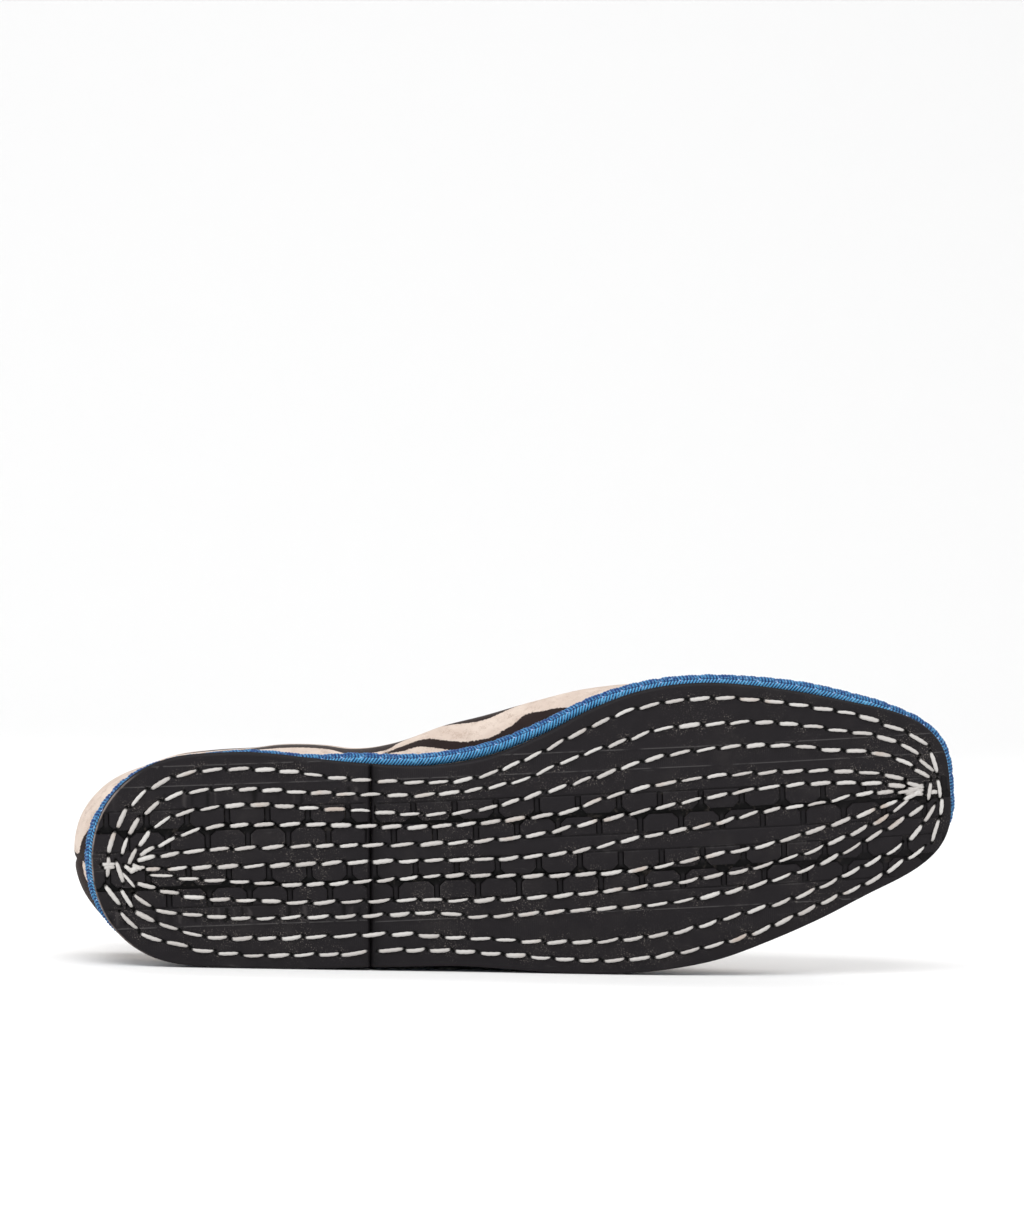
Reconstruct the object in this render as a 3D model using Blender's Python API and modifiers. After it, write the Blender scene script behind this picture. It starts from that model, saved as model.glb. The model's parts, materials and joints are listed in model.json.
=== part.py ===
"""A velvet house slipper for the left foot, lying on its outer side.

Its pieces are the ones that a maker sews together: a rubber sole in two pieces, a braided piping, a velvet
upper and an insole. The shoe is shaped upright from the sections of its last, with its toe along +X, its
outer side along +Y and the ground at Z = 0. An empty then lays it down on the edge of its sole and the side
of its upper, with the ground face of the sole towards -Y.
"""

import math

import bmesh
import bpy
import numpy as np

MM = 0.001
OBJECT_NAME = "velvet_slipper"

# Sole, in millimetres along the shoe from the seat of the heel
SOLE_BACK = -1.1
SOLE_FRONT = 263.9
SOLE_THICKNESS = 4.5
SOLE_EDGE_BEVEL = 0.6
FLAT_LENGTH = 165.0
TOE_SPRING = 7.3
HEEL_ROUND = 34.0
HEEL_SQUARENESS = 2.15
TOE_ROUND = 27.0
TOE_SQUARENESS = 3.3

# The rear and front pieces of the sole meet on a slanting line
JOINT_INNER_X = 86.3
JOINT_OUTER_X = 81.5
JOINT_GROOVE = 0.8

# Tread of the tyre that the sole is cut from: a smooth rib with two rows of blocks on each side of it.
# For each piece of the sole: x and y of a place on the rib, the rib's turn, how far on the first gap is,
# and how far apart the gaps are.
TREAD = {
    "outsole_heel": (48.0, 1.6, math.radians(2.8), 5.0, 12.3),
    "outsole_front": (118.0, 5.1, math.radians(2.3), 4.9, 12.6),
}
GROOVES_FROM_RIB = (2.6, 8.9, 15.2)
GROOVE_WIDTHS = (0.4, 1.0, 0.4)
TREAD_DEPTH = 0.7
BLOCK_GAP = 1.9
TREAD_REACH = 150.0

# Piping, two cords of braid side by side that lean outwards
LOBE_RADIUS = 1.25
LOBE_SPACING = 1.7
LOBE_LEAN = math.radians(50)

# Upper and insole
CLEARANCE = 0.3
WALL = 2.2
INSOLE_THICKNESS = 3.0
FULLEST_HEIGHT = 24.0
FULLEST_SHARE = 0.55
SIDE_SQUARENESS = 0.8
HEEL_PIVOT_X = 32.0
TOE_PIVOT_X = 238.0
THROAT_X = 154.0
THROAT_DEPTH = 34.0

# How finely the pieces are divided
OUTLINE_SAMPLES = 400
SOLE_STATIONS_HEEL = 26
SOLE_STATIONS_FRONT = 44
PIPING_STATIONS = 66
PIPING_SIDES = 12
INSOLE_STATIONS = 38
VAMP_COLUMNS = 24
QUARTER_COLUMNS = 27
THROAT_CROWDING = 0.12
WALL_ROWS = 11
FOOT_CROWDING = 1.4
WELD_DISTANCE = 0.001
SHARP_EDGE = math.radians(60)

# Limits between which the shoe's way of lying on its side is searched
SWING_LIMITS = (math.radians(-15), math.radians(5))
LEAN_LIMITS = (math.radians(-5), math.radians(20))
HALVINGS = 50

# Sections along the shoe, from the back of the sole to its front. "in" is the side of the big toe, "out" the other.
# sole: half width of the sole from the line between heel and toe
# stand: how far the piping stands out past the edge of the sole
# bulge: how far the upper's wall swells out from its lower edge
SECTION_COLUMNS = ("x", "sole_in", "sole_out", "stand_in", "stand_out", "bulge_in", "bulge_out")
SECTIONS = np.array([
    (-1.1, 30.7, 34.5, 1.9, 1.9, 8.1, 8.1),
    (1, 30.7, 34.5, 1.6, 1.5, 7.4, 7.0),
    (4, 30.8, 34.4, 0.9, 0.9, 6.2, 6.4),
    (12, 30.8, 34.3, 0.2, 0.2, 2.6, 4.8),
    (28, 30.9, 34.3, -0.7, -0.4, 1.8, 6.2),
    (42, 30.7, 35.8, -0.3, -0.4, 1.9, 6.5),
    (50, 30.1, 36.8, 0.1, -0.4, 2.15, 6.6),
    (58, 28.8, 37.4, 0.25, -0.4, 3.8, 6.9),
    (66, 27.2, 38.0, 0.35, -0.4, 4.75, 7.2),
    (72, 26.0, 38.4, 0.9, -0.4, 4.5, 7.6),
    (81, 24.3, 39.0, 2.3, -0.4, 3.0, 8.3),
    (86, 23.5, 39.4, 2.6, -0.4, 3.4, 8.8),
    (92, 22.6, 39.8, 2.7, -0.4, 5.0, 9.2),
    (110, 21.3, 41.2, 3.5, -0.4, 10.6, 10.1),
    (125, 23.1, 43.5, 3.7, -0.4, 11.3, 9.6),
    (140, 28.2, 45.9, 3.3, -0.4, 10.0, 9.3),
    (156, 35.0, 47.5, 2.8, -0.4, 6.8, 8.2),
    (172, 39.2, 47.6, 2.1, -0.4, 4.2, 5.3),
    (188, 39.9, 45.9, 1.9, -0.4, 1.3, 3.0),
    (204, 37.8, 41.7, 2.2, -0.4, 0.6, 2.0),
    (220, 34.1, 36.4, 2.7, -0.4, 0.3, 1.6),
    (240, 28.2, 28.5, 2.0, -0.2, 0.3, 1.0),
    (254, 24.2, 24.0, 1.0, 0.0, 0.3, 0.5),
    (262, 22.2, 21.9, 1.5, 0.4, 0.3, 0.3),
    (263.9, 21.9, 21.4, 1.8, 1.8, 0.3, 0.3),
])

# Ridge of the last, the line along the top of the foot: place across and height above the ground
RIDGE_COLUMNS = ("x", "y", "z")
RIDGE = np.array([
    (32, 2.0, 97.0),
    (60, 3.0, 93.0),
    (90, 4.0, 84.0),
    (120, 3.5, 73.0),
    (150, 2.0, 60.0),
    (165, 1.5, 53.0),
    (185, 1.0, 45.5),
    (205, 0.5, 39.5),
    (225, -0.5, 34.5),
    (240, -1.0, 31.0),
])

# Height of the collar's edge above the ground, from heel to throat
COLLAR_COLUMNS = ("x", "z")
COLLAR = np.array([
    (0, 59.0),
    (30, 54.0),
    (60, 48.0),
    (90, 46.0),
    (120, 49.0),
    (154, 57.0),
])

# Colours of the pieces: base colour, roughness
FINISHES = {
    "outsole_heel": ((0.028, 0.027, 0.029), 0.7),
    "outsole_front": ((0.028, 0.027, 0.029), 0.7),
    "piping": ((0.035, 0.19, 0.5), 0.75),
    "upper": ((0.72, 0.61, 0.53), 0.9),
    "insole": ((0.6, 0.52, 0.4), 0.85),
}


def smooth(table, columns, name, x):
    """Value of a table's column at x, on a smooth curve through its rows."""
    knots = table[:, 0]
    values = table[:, columns.index(name)]
    slopes = np.gradient(values, knots)
    place = np.clip(np.asarray(x, dtype=float), knots[0], knots[-1])
    row = np.clip(np.searchsorted(knots, place) - 1, 0, len(knots) - 2)
    span = knots[row + 1] - knots[row]
    u = (place - knots[row]) / span
    start = values[row] * (1 + 2 * u) * (1 - u) ** 2 + slopes[row] * span * u * (1 - u) ** 2
    end = values[row + 1] * u * u * (3 - 2 * u) + slopes[row + 1] * span * u * u * (u - 1)
    return start + end


def section(name, x):
    return smooth(SECTIONS, SECTION_COLUMNS, name, x)


def rise(x):
    """Height of the ground face of the sole at x: flat from the heel, then the toe spring."""
    return TOE_SPRING * np.clip((x - FLAT_LENGTH) / (SOLE_FRONT - FLAT_LENGTH), 0, None) ** 2


def end_round(distance, length, squareness):
    """Share of the full width at a distance from a rounded end."""
    inside = 1 - np.clip(distance / length, 0, 1)
    return (1 - inside ** squareness) ** (1 / squareness)


def sole_outline():
    """The edge of the sole as one loop: heel, inner side, toe, outer side. Gives points and outward normals."""
    turn = np.linspace(0, math.pi, OUTLINE_SAMPLES)
    x = SOLE_BACK + (SOLE_FRONT - SOLE_BACK) * (1 - np.cos(turn)) / 2
    narrowing = end_round(x - SOLE_BACK, HEEL_ROUND, HEEL_SQUARENESS)
    narrowing = narrowing * end_round(SOLE_FRONT - x, TOE_ROUND, TOE_SQUARENESS)
    middle = (section("sole_out", x) - section("sole_in", x)) / 2
    half = (section("sole_out", x) + section("sole_in", x)) / 2 * narrowing
    inner = np.column_stack([x, middle - half])
    outer = np.column_stack([x, middle + half])
    loop = np.concatenate([inner, outer[-2:0:-1]])
    along = np.roll(loop, -1, axis=0) - np.roll(loop, 1, axis=0)
    normal = np.column_stack([along[:, 1], -along[:, 0]])
    return loop, normal / np.linalg.norm(normal, axis=1, keepdims=True)


def side_value(name, loop):
    """A section value at each point of the outline, from the column of its own side."""
    values = section(name + "_out", loop[:, 0])
    values[:OUTLINE_SAMPLES] = section(name + "_in", loop[:OUTLINE_SAMPLES, 0])
    return values[:, None]


def piping_width():
    """From the upper's lower edge to the outside of the piping."""
    return CLEARANCE + 2 * LOBE_RADIUS + LOBE_SPACING * math.cos(LOBE_LEAN)


def shoe_lines():
    """The sole's edge, the upper's lower edge and its fullest line, as loops with shared normals."""
    edge, normal = sole_outline()
    foot = edge + normal * (side_value("stand", edge) - piping_width())
    full = foot + normal * side_value("bulge", edge)
    return edge, foot, full, normal


def sides(loop):
    """A loop split into its inner and outer run, each from toe to heel."""
    inner = loop[OUTLINE_SAMPLES - 1::-1]
    outer = np.concatenate([loop[OUTLINE_SAMPLES - 1:], loop[:1]])
    return inner, outer


def travelled(run):
    steps = np.linalg.norm(np.diff(run, axis=0), axis=1)
    return np.concatenate([[0], np.cumsum(steps)])


def along_run(run, distances):
    """Points of a run at the given distances from its start."""
    reached = travelled(run)
    return np.column_stack([np.interp(distances, reached, axis) for axis in run.T])


def cut_run(run, x_from, x_to, count):
    """Evenly spaced points of a run between two places along the shoe."""
    reached = travelled(run)
    first, last = np.interp([-x_from, -x_to], -run[:, 0], reached)
    return along_run(run, np.linspace(first, last, count))


def new_collection(name):
    collection = bpy.data.collections.new(name)
    bpy.context.scene.collection.children.link(collection)
    return collection


def finish(name):
    colour, roughness = FINISHES[name]
    material = bpy.data.materials.new(name)
    material.use_nodes = True
    shader = material.node_tree.nodes["Principled BSDF"]
    shader.inputs["Base Color"].default_value = (*colour, 1)
    shader.inputs["Roughness"].default_value = roughness
    return material


def add_object(name, data, collection):
    made = bpy.data.objects.new(name, data)
    data.materials.append(finish(name))
    collection.objects.link(made)
    return made


def surface(name, grid, closed):
    """A mesh through a grid of points, column by column, with points that coincide welded."""
    bm = bmesh.new()
    columns = [[bm.verts.new(point * MM) for point in column] for column in grid]
    count = len(columns)
    for i in range(count if closed else count - 1):
        left = columns[i]
        right = columns[(i + 1) % count]
        for j in range(len(left) - 1):
            bm.faces.new((left[j], right[j], right[j + 1], left[j + 1]))
    bmesh.ops.remove_doubles(bm, verts=bm.verts, dist=WELD_DISTANCE * MM)
    mesh = bpy.data.meshes.new(name)
    bm.to_mesh(mesh)
    bm.free()
    mesh.shade_smooth()
    return mesh


def plate(name, inner, outer, height, thickness, collection):
    """A plate between two runs of points, its lower face at a height above the sole's ground face."""
    both = []
    for run in (inner, outer):
        both.append(np.column_stack([run, rise(run[:, 0]) + height]))
    made = add_object(name, surface(name, np.stack(both, axis=1), closed=False), collection)
    thick = made.modifiers.new("thickness", "SOLIDIFY")
    thick.thickness = thickness * MM
    thick.offset = -1
    rounded = made.modifiers.new("edges", "BEVEL")
    rounded.width = SOLE_EDGE_BEVEL * MM
    rounded.segments = 1
    rounded.limit_method = "ANGLE"
    rounded.angle_limit = SHARP_EDGE
    return made


def add_bar(bm, places, half_width, turn):
    """A bar of rectangular section through some places on the ground face, sunk into it by the tread's depth."""
    aside = np.array([-math.sin(turn), math.cos(turn)]) * half_width
    rings = []
    for place in places:
        ground = rise(place[0])
        corners = [(place - aside, -TREAD_DEPTH), (place + aside, -TREAD_DEPTH),
                   (place + aside, TREAD_DEPTH), (place - aside, TREAD_DEPTH)]
        rings.append([bm.verts.new(np.array([*plan, ground + z]) * MM) for plan, z in corners])
    for back, ahead in zip(rings, rings[1:]):
        for i in range(4):
            j = (i + 1) % 4
            bm.faces.new((back[i], back[j], ahead[j], ahead[i]))
    bm.faces.new(rings[0][::-1])
    bm.faces.new(rings[-1])


def tread_cutter(name, bars, turn, cutters):
    """One mesh of separate bars, each given by its places and half width."""
    bm = bmesh.new()
    for places, half_width in bars:
        add_bar(bm, places, half_width, turn)
    bmesh.ops.recalc_face_normals(bm, faces=bm.faces)
    mesh = bpy.data.meshes.new(name)
    bm.to_mesh(mesh)
    bm.free()
    cutter = bpy.data.objects.new(name, mesh)
    cutters.objects.link(cutter)
    cutter.hide_render = True
    cutter.display_type = "WIRE"
    return cutter


def cut_tread(piece, cutters):
    """Lengthwise grooves beside the rib and the rows of blocks, then the gaps between blocks, in running bond."""
    x, y, turn, first_gap, pitch = TREAD[piece.name]
    along = np.array([math.cos(turn), math.sin(turn)])
    aside = np.array([-math.sin(turn), math.cos(turn)])

    def place(u, v):
        return np.array([x, y]) + along * u + aside * v

    runs = np.arange(-TREAD_REACH, TREAD_REACH + pitch, pitch)
    grooves = []
    gaps = []
    for side in (-1, 1):
        for groove, width in zip(GROOVES_FROM_RIB, GROOVE_WIDTHS):
            grooves.append(([place(u, side * groove) for u in runs], width / 2))
        for row, (low, high) in enumerate(zip(GROOVES_FROM_RIB, GROOVES_FROM_RIB[1:])):
            shift = pitch / 2 * (row if side > 0 else row + 1)
            for u in runs + first_gap + shift:
                ends = [place(u + share * BLOCK_GAP / 2, side * (low + high) / 2) for share in (-1, 1)]
                gaps.append((ends, (high - low) / 2))
    for name, bars in (("grooves", grooves), ("gaps", gaps)):
        cut = piece.modifiers.new(name, "BOOLEAN")
        cut.operation = "DIFFERENCE"
        cut.solver = "EXACT"
        cut.object = tread_cutter(piece.name + "_" + name, bars, turn, cutters)


def make_outsole(edge, collection):
    inner, outer = sides(edge)
    half_groove = JOINT_GROOVE / 2
    front = plate(
        "outsole_front",
        cut_run(inner, SOLE_FRONT, JOINT_INNER_X + half_groove, SOLE_STATIONS_FRONT),
        cut_run(outer, SOLE_FRONT, JOINT_OUTER_X + half_groove, SOLE_STATIONS_FRONT),
        0, SOLE_THICKNESS, collection)
    heel = plate(
        "outsole_heel",
        cut_run(inner, JOINT_INNER_X - half_groove, SOLE_BACK, SOLE_STATIONS_HEEL),
        cut_run(outer, JOINT_OUTER_X - half_groove, SOLE_BACK, SOLE_STATIONS_HEEL),
        0, SOLE_THICKNESS, collection)
    return front, heel


def make_insole(foot, normal, collection):
    inner, outer = sides(foot - normal * (WALL + CLEARANCE))
    length = inner[0, 0]
    back = inner[-1, 0]
    return plate(
        "insole",
        cut_run(inner, length, back, INSOLE_STATIONS),
        cut_run(outer, length, back, INSOLE_STATIONS),
        SOLE_THICKNESS + CLEARANCE, INSOLE_THICKNESS, collection)


def piping_section():
    """Outline of two round cords side by side, as x outwards and y up."""
    half = LOBE_SPACING / 2
    points = []
    for i in range(PIPING_SIDES):
        angle = -2 * math.pi * i / PIPING_SIDES
        across = half * abs(math.cos(angle))
        beside = half * math.sin(angle)
        reach = across + math.sqrt(LOBE_RADIUS ** 2 - beside ** 2)
        points.append((reach * math.cos(angle + LOBE_LEAN), reach * math.sin(angle + LOBE_LEAN), 0))
    return points


def closed_curve(name, points):
    """A curve of straight steps through some points and back to the first."""
    curve = bpy.data.curves.new(name, "CURVE")
    curve.dimensions = "3D"
    spline = curve.splines.new("POLY")
    spline.points.add(len(points) - 1)
    for slot, point in zip(spline.points, points):
        slot.co = (*(value * MM for value in point), 1)
    spline.use_cyclic_u = True
    return curve


def make_piping(foot, normal, collection, guides):
    """A closed loop of braid that follows the upper's lower edge just above the sole."""
    lean = np.array([math.cos(LOBE_LEAN), math.sin(LOBE_LEAN)]) * LOBE_SPACING / 2
    middle = foot + normal * (CLEARANCE + LOBE_RADIUS + lean[0])
    inner, outer = sides(middle)
    length = middle[:, 0].max()
    back = middle[:, 0].min()
    inner = cut_run(inner, length, back, PIPING_STATIONS)
    outer = cut_run(outer, length, back, PIPING_STATIONS)
    loop = np.concatenate([inner, outer[-2:0:-1]])
    height = rise(loop[:, 0]) + SOLE_THICKNESS + CLEARANCE + LOBE_RADIUS + lean[1]
    profile = bpy.data.objects.new("piping_section", closed_curve("piping_section", piping_section()))
    guides.objects.link(profile)
    profile.hide_render = True
    profile.display_type = "WIRE"
    curve = closed_curve("piping", np.column_stack([loop, height]))
    curve.twist_mode = "Z_UP"
    curve.bevel_mode = "OBJECT"
    curve.bevel_object = profile
    return add_object("piping", curve, collection)


def wall_stations(run):
    """Distances from the toe at which the upper's columns stand, crowded just behind the throat."""
    reached = travelled(run)
    throat = np.interp(-THROAT_X, -run[:, 0], reached)
    vamp = np.linspace(0, throat, VAMP_COLUMNS + 1)
    u = np.linspace(0, 1, QUARTER_COLUMNS + 1)[1:]
    behind = (1 + THROAT_CROWDING) * u * u / (u + THROAT_CROWDING)
    return np.concatenate([vamp, throat + (reached[-1] - throat) * behind])


def collar_angle(x, base, height):
    """How far a column of the wall climbs its curve: a quarter turn on the vamp, less behind the throat."""
    if x > THROAT_X:
        return math.pi / 2
    edge = smooth(COLLAR, COLLAR_COLUMNS, "z", x)
    opening = math.cos(math.asin((edge - base) / height)) ** SIDE_SQUARENESS
    behind = min((THROAT_X - x) / THROAT_DEPTH, 1)
    share = opening * math.sqrt(1 - (1 - behind) ** 2)
    return math.acos(share ** (1 / SIDE_SQUARENESS))


def wall_column(foot, full, x):
    """Points up the wall, from its lower edge over its fullest place to the collar or the ridge."""
    share = (x - SOLE_BACK) / (SOLE_FRONT - SOLE_BACK)
    ridge_x = HEEL_PIVOT_X + (TOE_PIVOT_X - HEEL_PIVOT_X) * share
    ridge = np.array([ridge_x, smooth(RIDGE, RIDGE_COLUMNS, "y", ridge_x)])
    base = rise(foot[0]) + SOLE_THICKNESS + CLEARANCE
    height = smooth(RIDGE, RIDGE_COLUMNS, "z", ridge_x) - base
    climb = collar_angle(x, base, height) * np.linspace(0, 1, WALL_ROWS + 1) ** FOOT_CROWDING
    z = height * np.sin(climb)
    swell = np.clip(z / min(FULLEST_HEIGHT, FULLEST_SHARE * height), 0, 1)
    swell = swell ** 3 * (10 - 15 * swell + 6 * swell ** 2)
    outside = foot + (full - foot) * swell[:, None]
    pull = np.cos(climb)[:, None].clip(0) ** SIDE_SQUARENESS
    plan = outside * pull + ridge * (1 - pull)
    return np.column_stack([plan, base + z])


def upper_grid(foot, full):
    """Columns of the upper's outer face around the shoe: heel, inner side, toe, outer side."""
    runs = []
    for side_foot, side_full in zip(sides(foot), sides(full)):
        stations = wall_stations(side_foot)
        share = stations / stations[-1]
        feet = along_run(side_foot, stations)
        fulls = along_run(side_full, share * travelled(side_full)[-1])
        runs.append((feet, fulls))
    (inner_feet, inner_fulls), (outer_feet, outer_fulls) = runs
    middle_x = (inner_feet[:, 0] + outer_feet[:, 0]) / 2
    inner = [wall_column(*place) for place in zip(inner_feet, inner_fulls, middle_x)]
    outer = [wall_column(*place) for place in zip(outer_feet, outer_fulls, middle_x)]
    return inner[::-1] + outer[1:-1]


def make_upper(foot, full, collection):
    made = add_object("upper", surface("upper", upper_grid(foot, full), closed=True), collection)
    thick = made.modifiers.new("wall", "SOLIDIFY")
    thick.thickness = WALL * MM
    thick.offset = -1
    thick.use_quality_normals = True
    return made


def solid_points(pieces):
    """The corners of some pieces as they stand upright, in metres."""
    view = bpy.context.evaluated_depsgraph_get()
    points = []
    for piece in pieces:
        ready = piece.evaluated_get(view)
        points += [vertex.co[:] for vertex in ready.to_mesh().vertices]
        ready.to_mesh_clear()
    return np.array(points)


def laid(points, lean, swing):
    """Points turned on the spot by a swing, then laid on the outer side, short of flat by a lean."""
    x = points[:, 0] * math.cos(swing) - points[:, 1] * math.sin(swing)
    y = points[:, 0] * math.sin(swing) + points[:, 1] * math.cos(swing)
    tip = lean - math.pi / 2
    return np.column_stack([
        x,
        y * math.cos(tip) - points[:, 2] * math.sin(tip),
        y * math.sin(tip) + points[:, 2] * math.cos(tip)])


def halved(low, high, is_low):
    """The place between two limits where a test turns over."""
    for _ in range(HALVINGS):
        middle = (low + high) / 2
        if is_low(middle):
            low = middle
        else:
            high = middle
    return low


def rest_on_side(sole, upper):
    """Lean and swing at which the sole's heel edge, its ball edge and the upper's wall all reach the floor."""
    is_heel = sole[:, 0] < (SOLE_BACK + SOLE_FRONT) * MM / 2

    def level_swing(lean):
        def heel_is_lower(swing):
            height = laid(sole, lean, swing)[:, 2]
            return height[is_heel].min() < height[~is_heel].min()
        return halved(*SWING_LIMITS, heel_is_lower)

    def upper_is_lower(lean):
        swing = level_swing(lean)
        return laid(upper, lean, swing)[:, 2].min() < laid(sole, lean, swing)[:, 2].min()

    lean = halved(*LEAN_LIMITS, upper_is_lower)
    return lean, level_swing(lean)


def lay_down(soles, others, cutters, collection):
    """Parent every piece to an empty that lays the shoe on its side, centred over its lowest point."""
    lean, swing = rest_on_side(solid_points(soles), solid_points(others))
    points = laid(solid_points(soles + others), lean, swing)
    low = points.min(axis=0)
    high = points.max(axis=0)
    pose = bpy.data.objects.new("lying_on_outer_side", None)
    collection.objects.link(pose)
    pose.rotation_mode = "ZYX"
    pose.rotation_euler = (lean - math.pi / 2, 0, swing)
    pose.location = (-(low[0] + high[0]) / 2, -(low[1] + high[1]) / 2, -low[2])
    for piece in soles + others + cutters:
        piece.parent = pose
    print(f"lean {math.degrees(lean):.2f} degrees, swing {math.degrees(swing):.2f} degrees")
    print("box", (high - low).round(4), "origin", np.array(pose.location).round(5))


def main():
    for old in list(bpy.data.objects):
        bpy.data.objects.remove(old)
    pieces = new_collection(OBJECT_NAME)
    guides = new_collection("guides")
    cutters = new_collection("cutters")
    edge, foot, full, normal = shoe_lines()
    front, heel = make_outsole(edge, pieces)
    piping = make_piping(foot, normal, pieces, guides)
    upper = make_upper(foot, full, pieces)
    insole = make_insole(foot, normal, pieces)
    for piece in (front, heel):
        cut_tread(piece, cutters)
    bpy.context.view_layer.update()
    lay_down([front, heel], [upper, piping, insole], list(cutters.objects), pieces)


main()
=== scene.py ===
# %% [markdown]
# # A velvet slipper that shows its sole
#
# A handmade house slipper lies on its outer side. Its sole is cut from old tyre tread and sewn on with
# rows of white waxed thread, a blue braid covers the seam, and striped velvet shows around it. The packed
# solids hold the true shape. This lesson dresses each of them with a finer mesh of the same form and a
# procedural finish.

# %% Load the frame
import json
import math

import bmesh
import bpy
import numpy as np
from mathutils import Matrix, Vector, noise
from mathutils.geometry import delaunay_2d_cdt


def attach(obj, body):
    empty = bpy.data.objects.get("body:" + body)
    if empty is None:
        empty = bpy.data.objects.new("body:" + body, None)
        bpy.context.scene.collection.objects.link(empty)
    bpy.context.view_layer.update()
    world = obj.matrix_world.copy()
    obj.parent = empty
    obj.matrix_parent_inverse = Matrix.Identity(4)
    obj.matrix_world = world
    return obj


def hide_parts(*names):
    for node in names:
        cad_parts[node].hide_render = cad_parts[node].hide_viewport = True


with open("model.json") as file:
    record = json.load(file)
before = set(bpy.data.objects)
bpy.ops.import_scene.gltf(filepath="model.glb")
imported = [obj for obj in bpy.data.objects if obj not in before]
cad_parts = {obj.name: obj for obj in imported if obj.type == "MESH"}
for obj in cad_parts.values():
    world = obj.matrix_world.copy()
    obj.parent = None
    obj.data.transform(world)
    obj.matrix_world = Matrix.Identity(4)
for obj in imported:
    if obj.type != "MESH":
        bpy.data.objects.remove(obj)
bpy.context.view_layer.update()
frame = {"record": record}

# %% [markdown]
# ## The shoe's own frame
#
# A shoemaker measures a shoe upright: from the back of the heel to the toe, across from the middle, and
# up from the ground. The slipper is worked out that way in millimetres, x to the toe, y to its outer side
# and z up, and one turn then lays every point down. The lean and the place come from the ground mount, so
# they follow the solids.

# %% Lay the shoe on its side
MM = 0.001
SWING = math.radians(-5.8685)
MOUNT_IN_SHOE = Vector((48.0, 1.6, 0.0))

ground_mount = frame["record"]["mounts"][0]
LEAN = math.atan2(-ground_mount["axis"][2], -ground_mount["axis"][1])
LAY_DOWN = Matrix.Rotation(LEAN - math.pi / 2, 3, "X") @ Matrix.Rotation(SWING, 3, "Z")
HOME = Vector(ground_mount["pos_m"]) - LAY_DOWN @ MOUNT_IN_SHOE * MM


def laid(points):
    """Points in the shoe's own millimetres, as metres in the frame of the lying shoe."""
    return np.asarray(points) @ np.array(LAY_DOWN).T * MM + np.array(HOME)


print("lean", round(math.degrees(LEAN), 2), "home", HOME)

# %% [markdown]
# ## Camera
#
# The view is nearly square on to the sole, from a little above the floor and a long way off, as a product
# photographer would stand. A long lens keeps the sole's outline free of perspective.

# %% Camera
FRAME_HEIGHT_PX = 1231
FOCAL_PX = 7766.0
SENSOR = 36.0
CAMERA_YAW = math.radians(3.7)
CAMERA_PITCH = math.radians(2.4)
CAMERA_ROLL = math.radians(-1.28)
CAMERA_DISTANCE = 2.4
CAMERA_HEIGHT = 0.2093
CAMERA_ASIDE = -0.0019

level = Vector((math.sin(CAMERA_YAW), math.cos(CAMERA_YAW), 0))
right = Vector((math.cos(CAMERA_YAW), -math.sin(CAMERA_YAW), 0))
ahead = level * math.cos(CAMERA_PITCH) - Vector((0, 0, math.sin(CAMERA_PITCH)))
above = right.cross(ahead)
camera_right = right * math.cos(CAMERA_ROLL) - above * math.sin(CAMERA_ROLL)
camera_up = right * math.sin(CAMERA_ROLL) + above * math.cos(CAMERA_ROLL)

camera = bpy.data.objects.new("camera", bpy.data.cameras.new("camera"))
camera.data.lens = FOCAL_PX / FRAME_HEIGHT_PX * SENSOR
camera.data.sensor_width = SENSOR
camera.data.clip_end = 20
place = right * CAMERA_ASIDE - level * CAMERA_DISTANCE + Vector((0, 0, CAMERA_HEIGHT))
turned = Matrix((camera_right, camera_up, -ahead)).transposed()
camera.matrix_world = Matrix.Translation(place) @ turned.to_4x4()
bpy.context.scene.collection.objects.link(camera)
bpy.context.scene.camera = camera
print("camera", place, "lens", round(camera.data.lens, 1))

# %% [markdown]
# ## Finishes from small nodes
#
# A finish is a small graph of shader nodes. Small helpers keep the graphs readable: they add a node with
# its inputs, do arithmetic, turn a range of values into a soft mask or mix two colours.

# %% Node helpers
def put(tree, kind, inputs=(), **settings):
    """Adds a node. Inputs pairs a socket's name or number with a value, or with a socket to link."""
    made = tree.nodes.new(kind)
    for name, value in settings.items():
        setattr(made, name, value)
    for name, value in dict(inputs).items():
        if isinstance(value, bpy.types.NodeSocket):
            tree.links.new(value, made.inputs[name])
        else:
            made.inputs[name].default_value = value
    return made


def calc(tree, operation, *values):
    return put(tree, "ShaderNodeMath", enumerate(values), operation=operation).outputs[0]


def times(tree, first, second):
    return calc(tree, "MULTIPLY", first, second)


def mask(tree, value, low, high):
    """Soft step: 0 below low, 1 above high."""
    return put(tree, "ShaderNodeMapRange", {"Value": value, "From Min": low, "From Max": high},
               interpolation_type="SMOOTHSTEP").outputs["Result"]


def between(tree, share, first, second):
    """Colour between two colours."""
    return put(tree, "ShaderNodeMix", {0: share, 6: first, 7: second}, data_type="RGBA").outputs[2]


def clouds(tree, where, scale, detail=3.0, roughness=0.5):
    """Noise from 0 to 1 with so many patches to the metre."""
    return put(tree, "ShaderNodeTexNoise",
               {"Vector": where, "Scale": scale, "Detail": detail, "Roughness": roughness}).outputs["Fac"]


def own(tree, name):
    """A value that a mesh carries on its points."""
    return put(tree, "ShaderNodeAttribute", attribute_name=name).outputs["Fac"]


def bumped(tree, height, distance, strength=1.0):
    return put(tree, "ShaderNodeBump",
               {"Height": height, "Distance": distance, "Strength": strength}).outputs["Normal"]


def new_finish(name, **constants):
    """A material and its Principled shader, with the values that are the same all over."""
    material = bpy.data.materials.new(name)
    material.use_nodes = True
    shader = material.node_tree.nodes["Principled BSDF"]
    for socket, value in constants.items():
        shader.inputs[socket.replace("_", " ")].default_value = value
    return material, material.node_tree, shader


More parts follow.
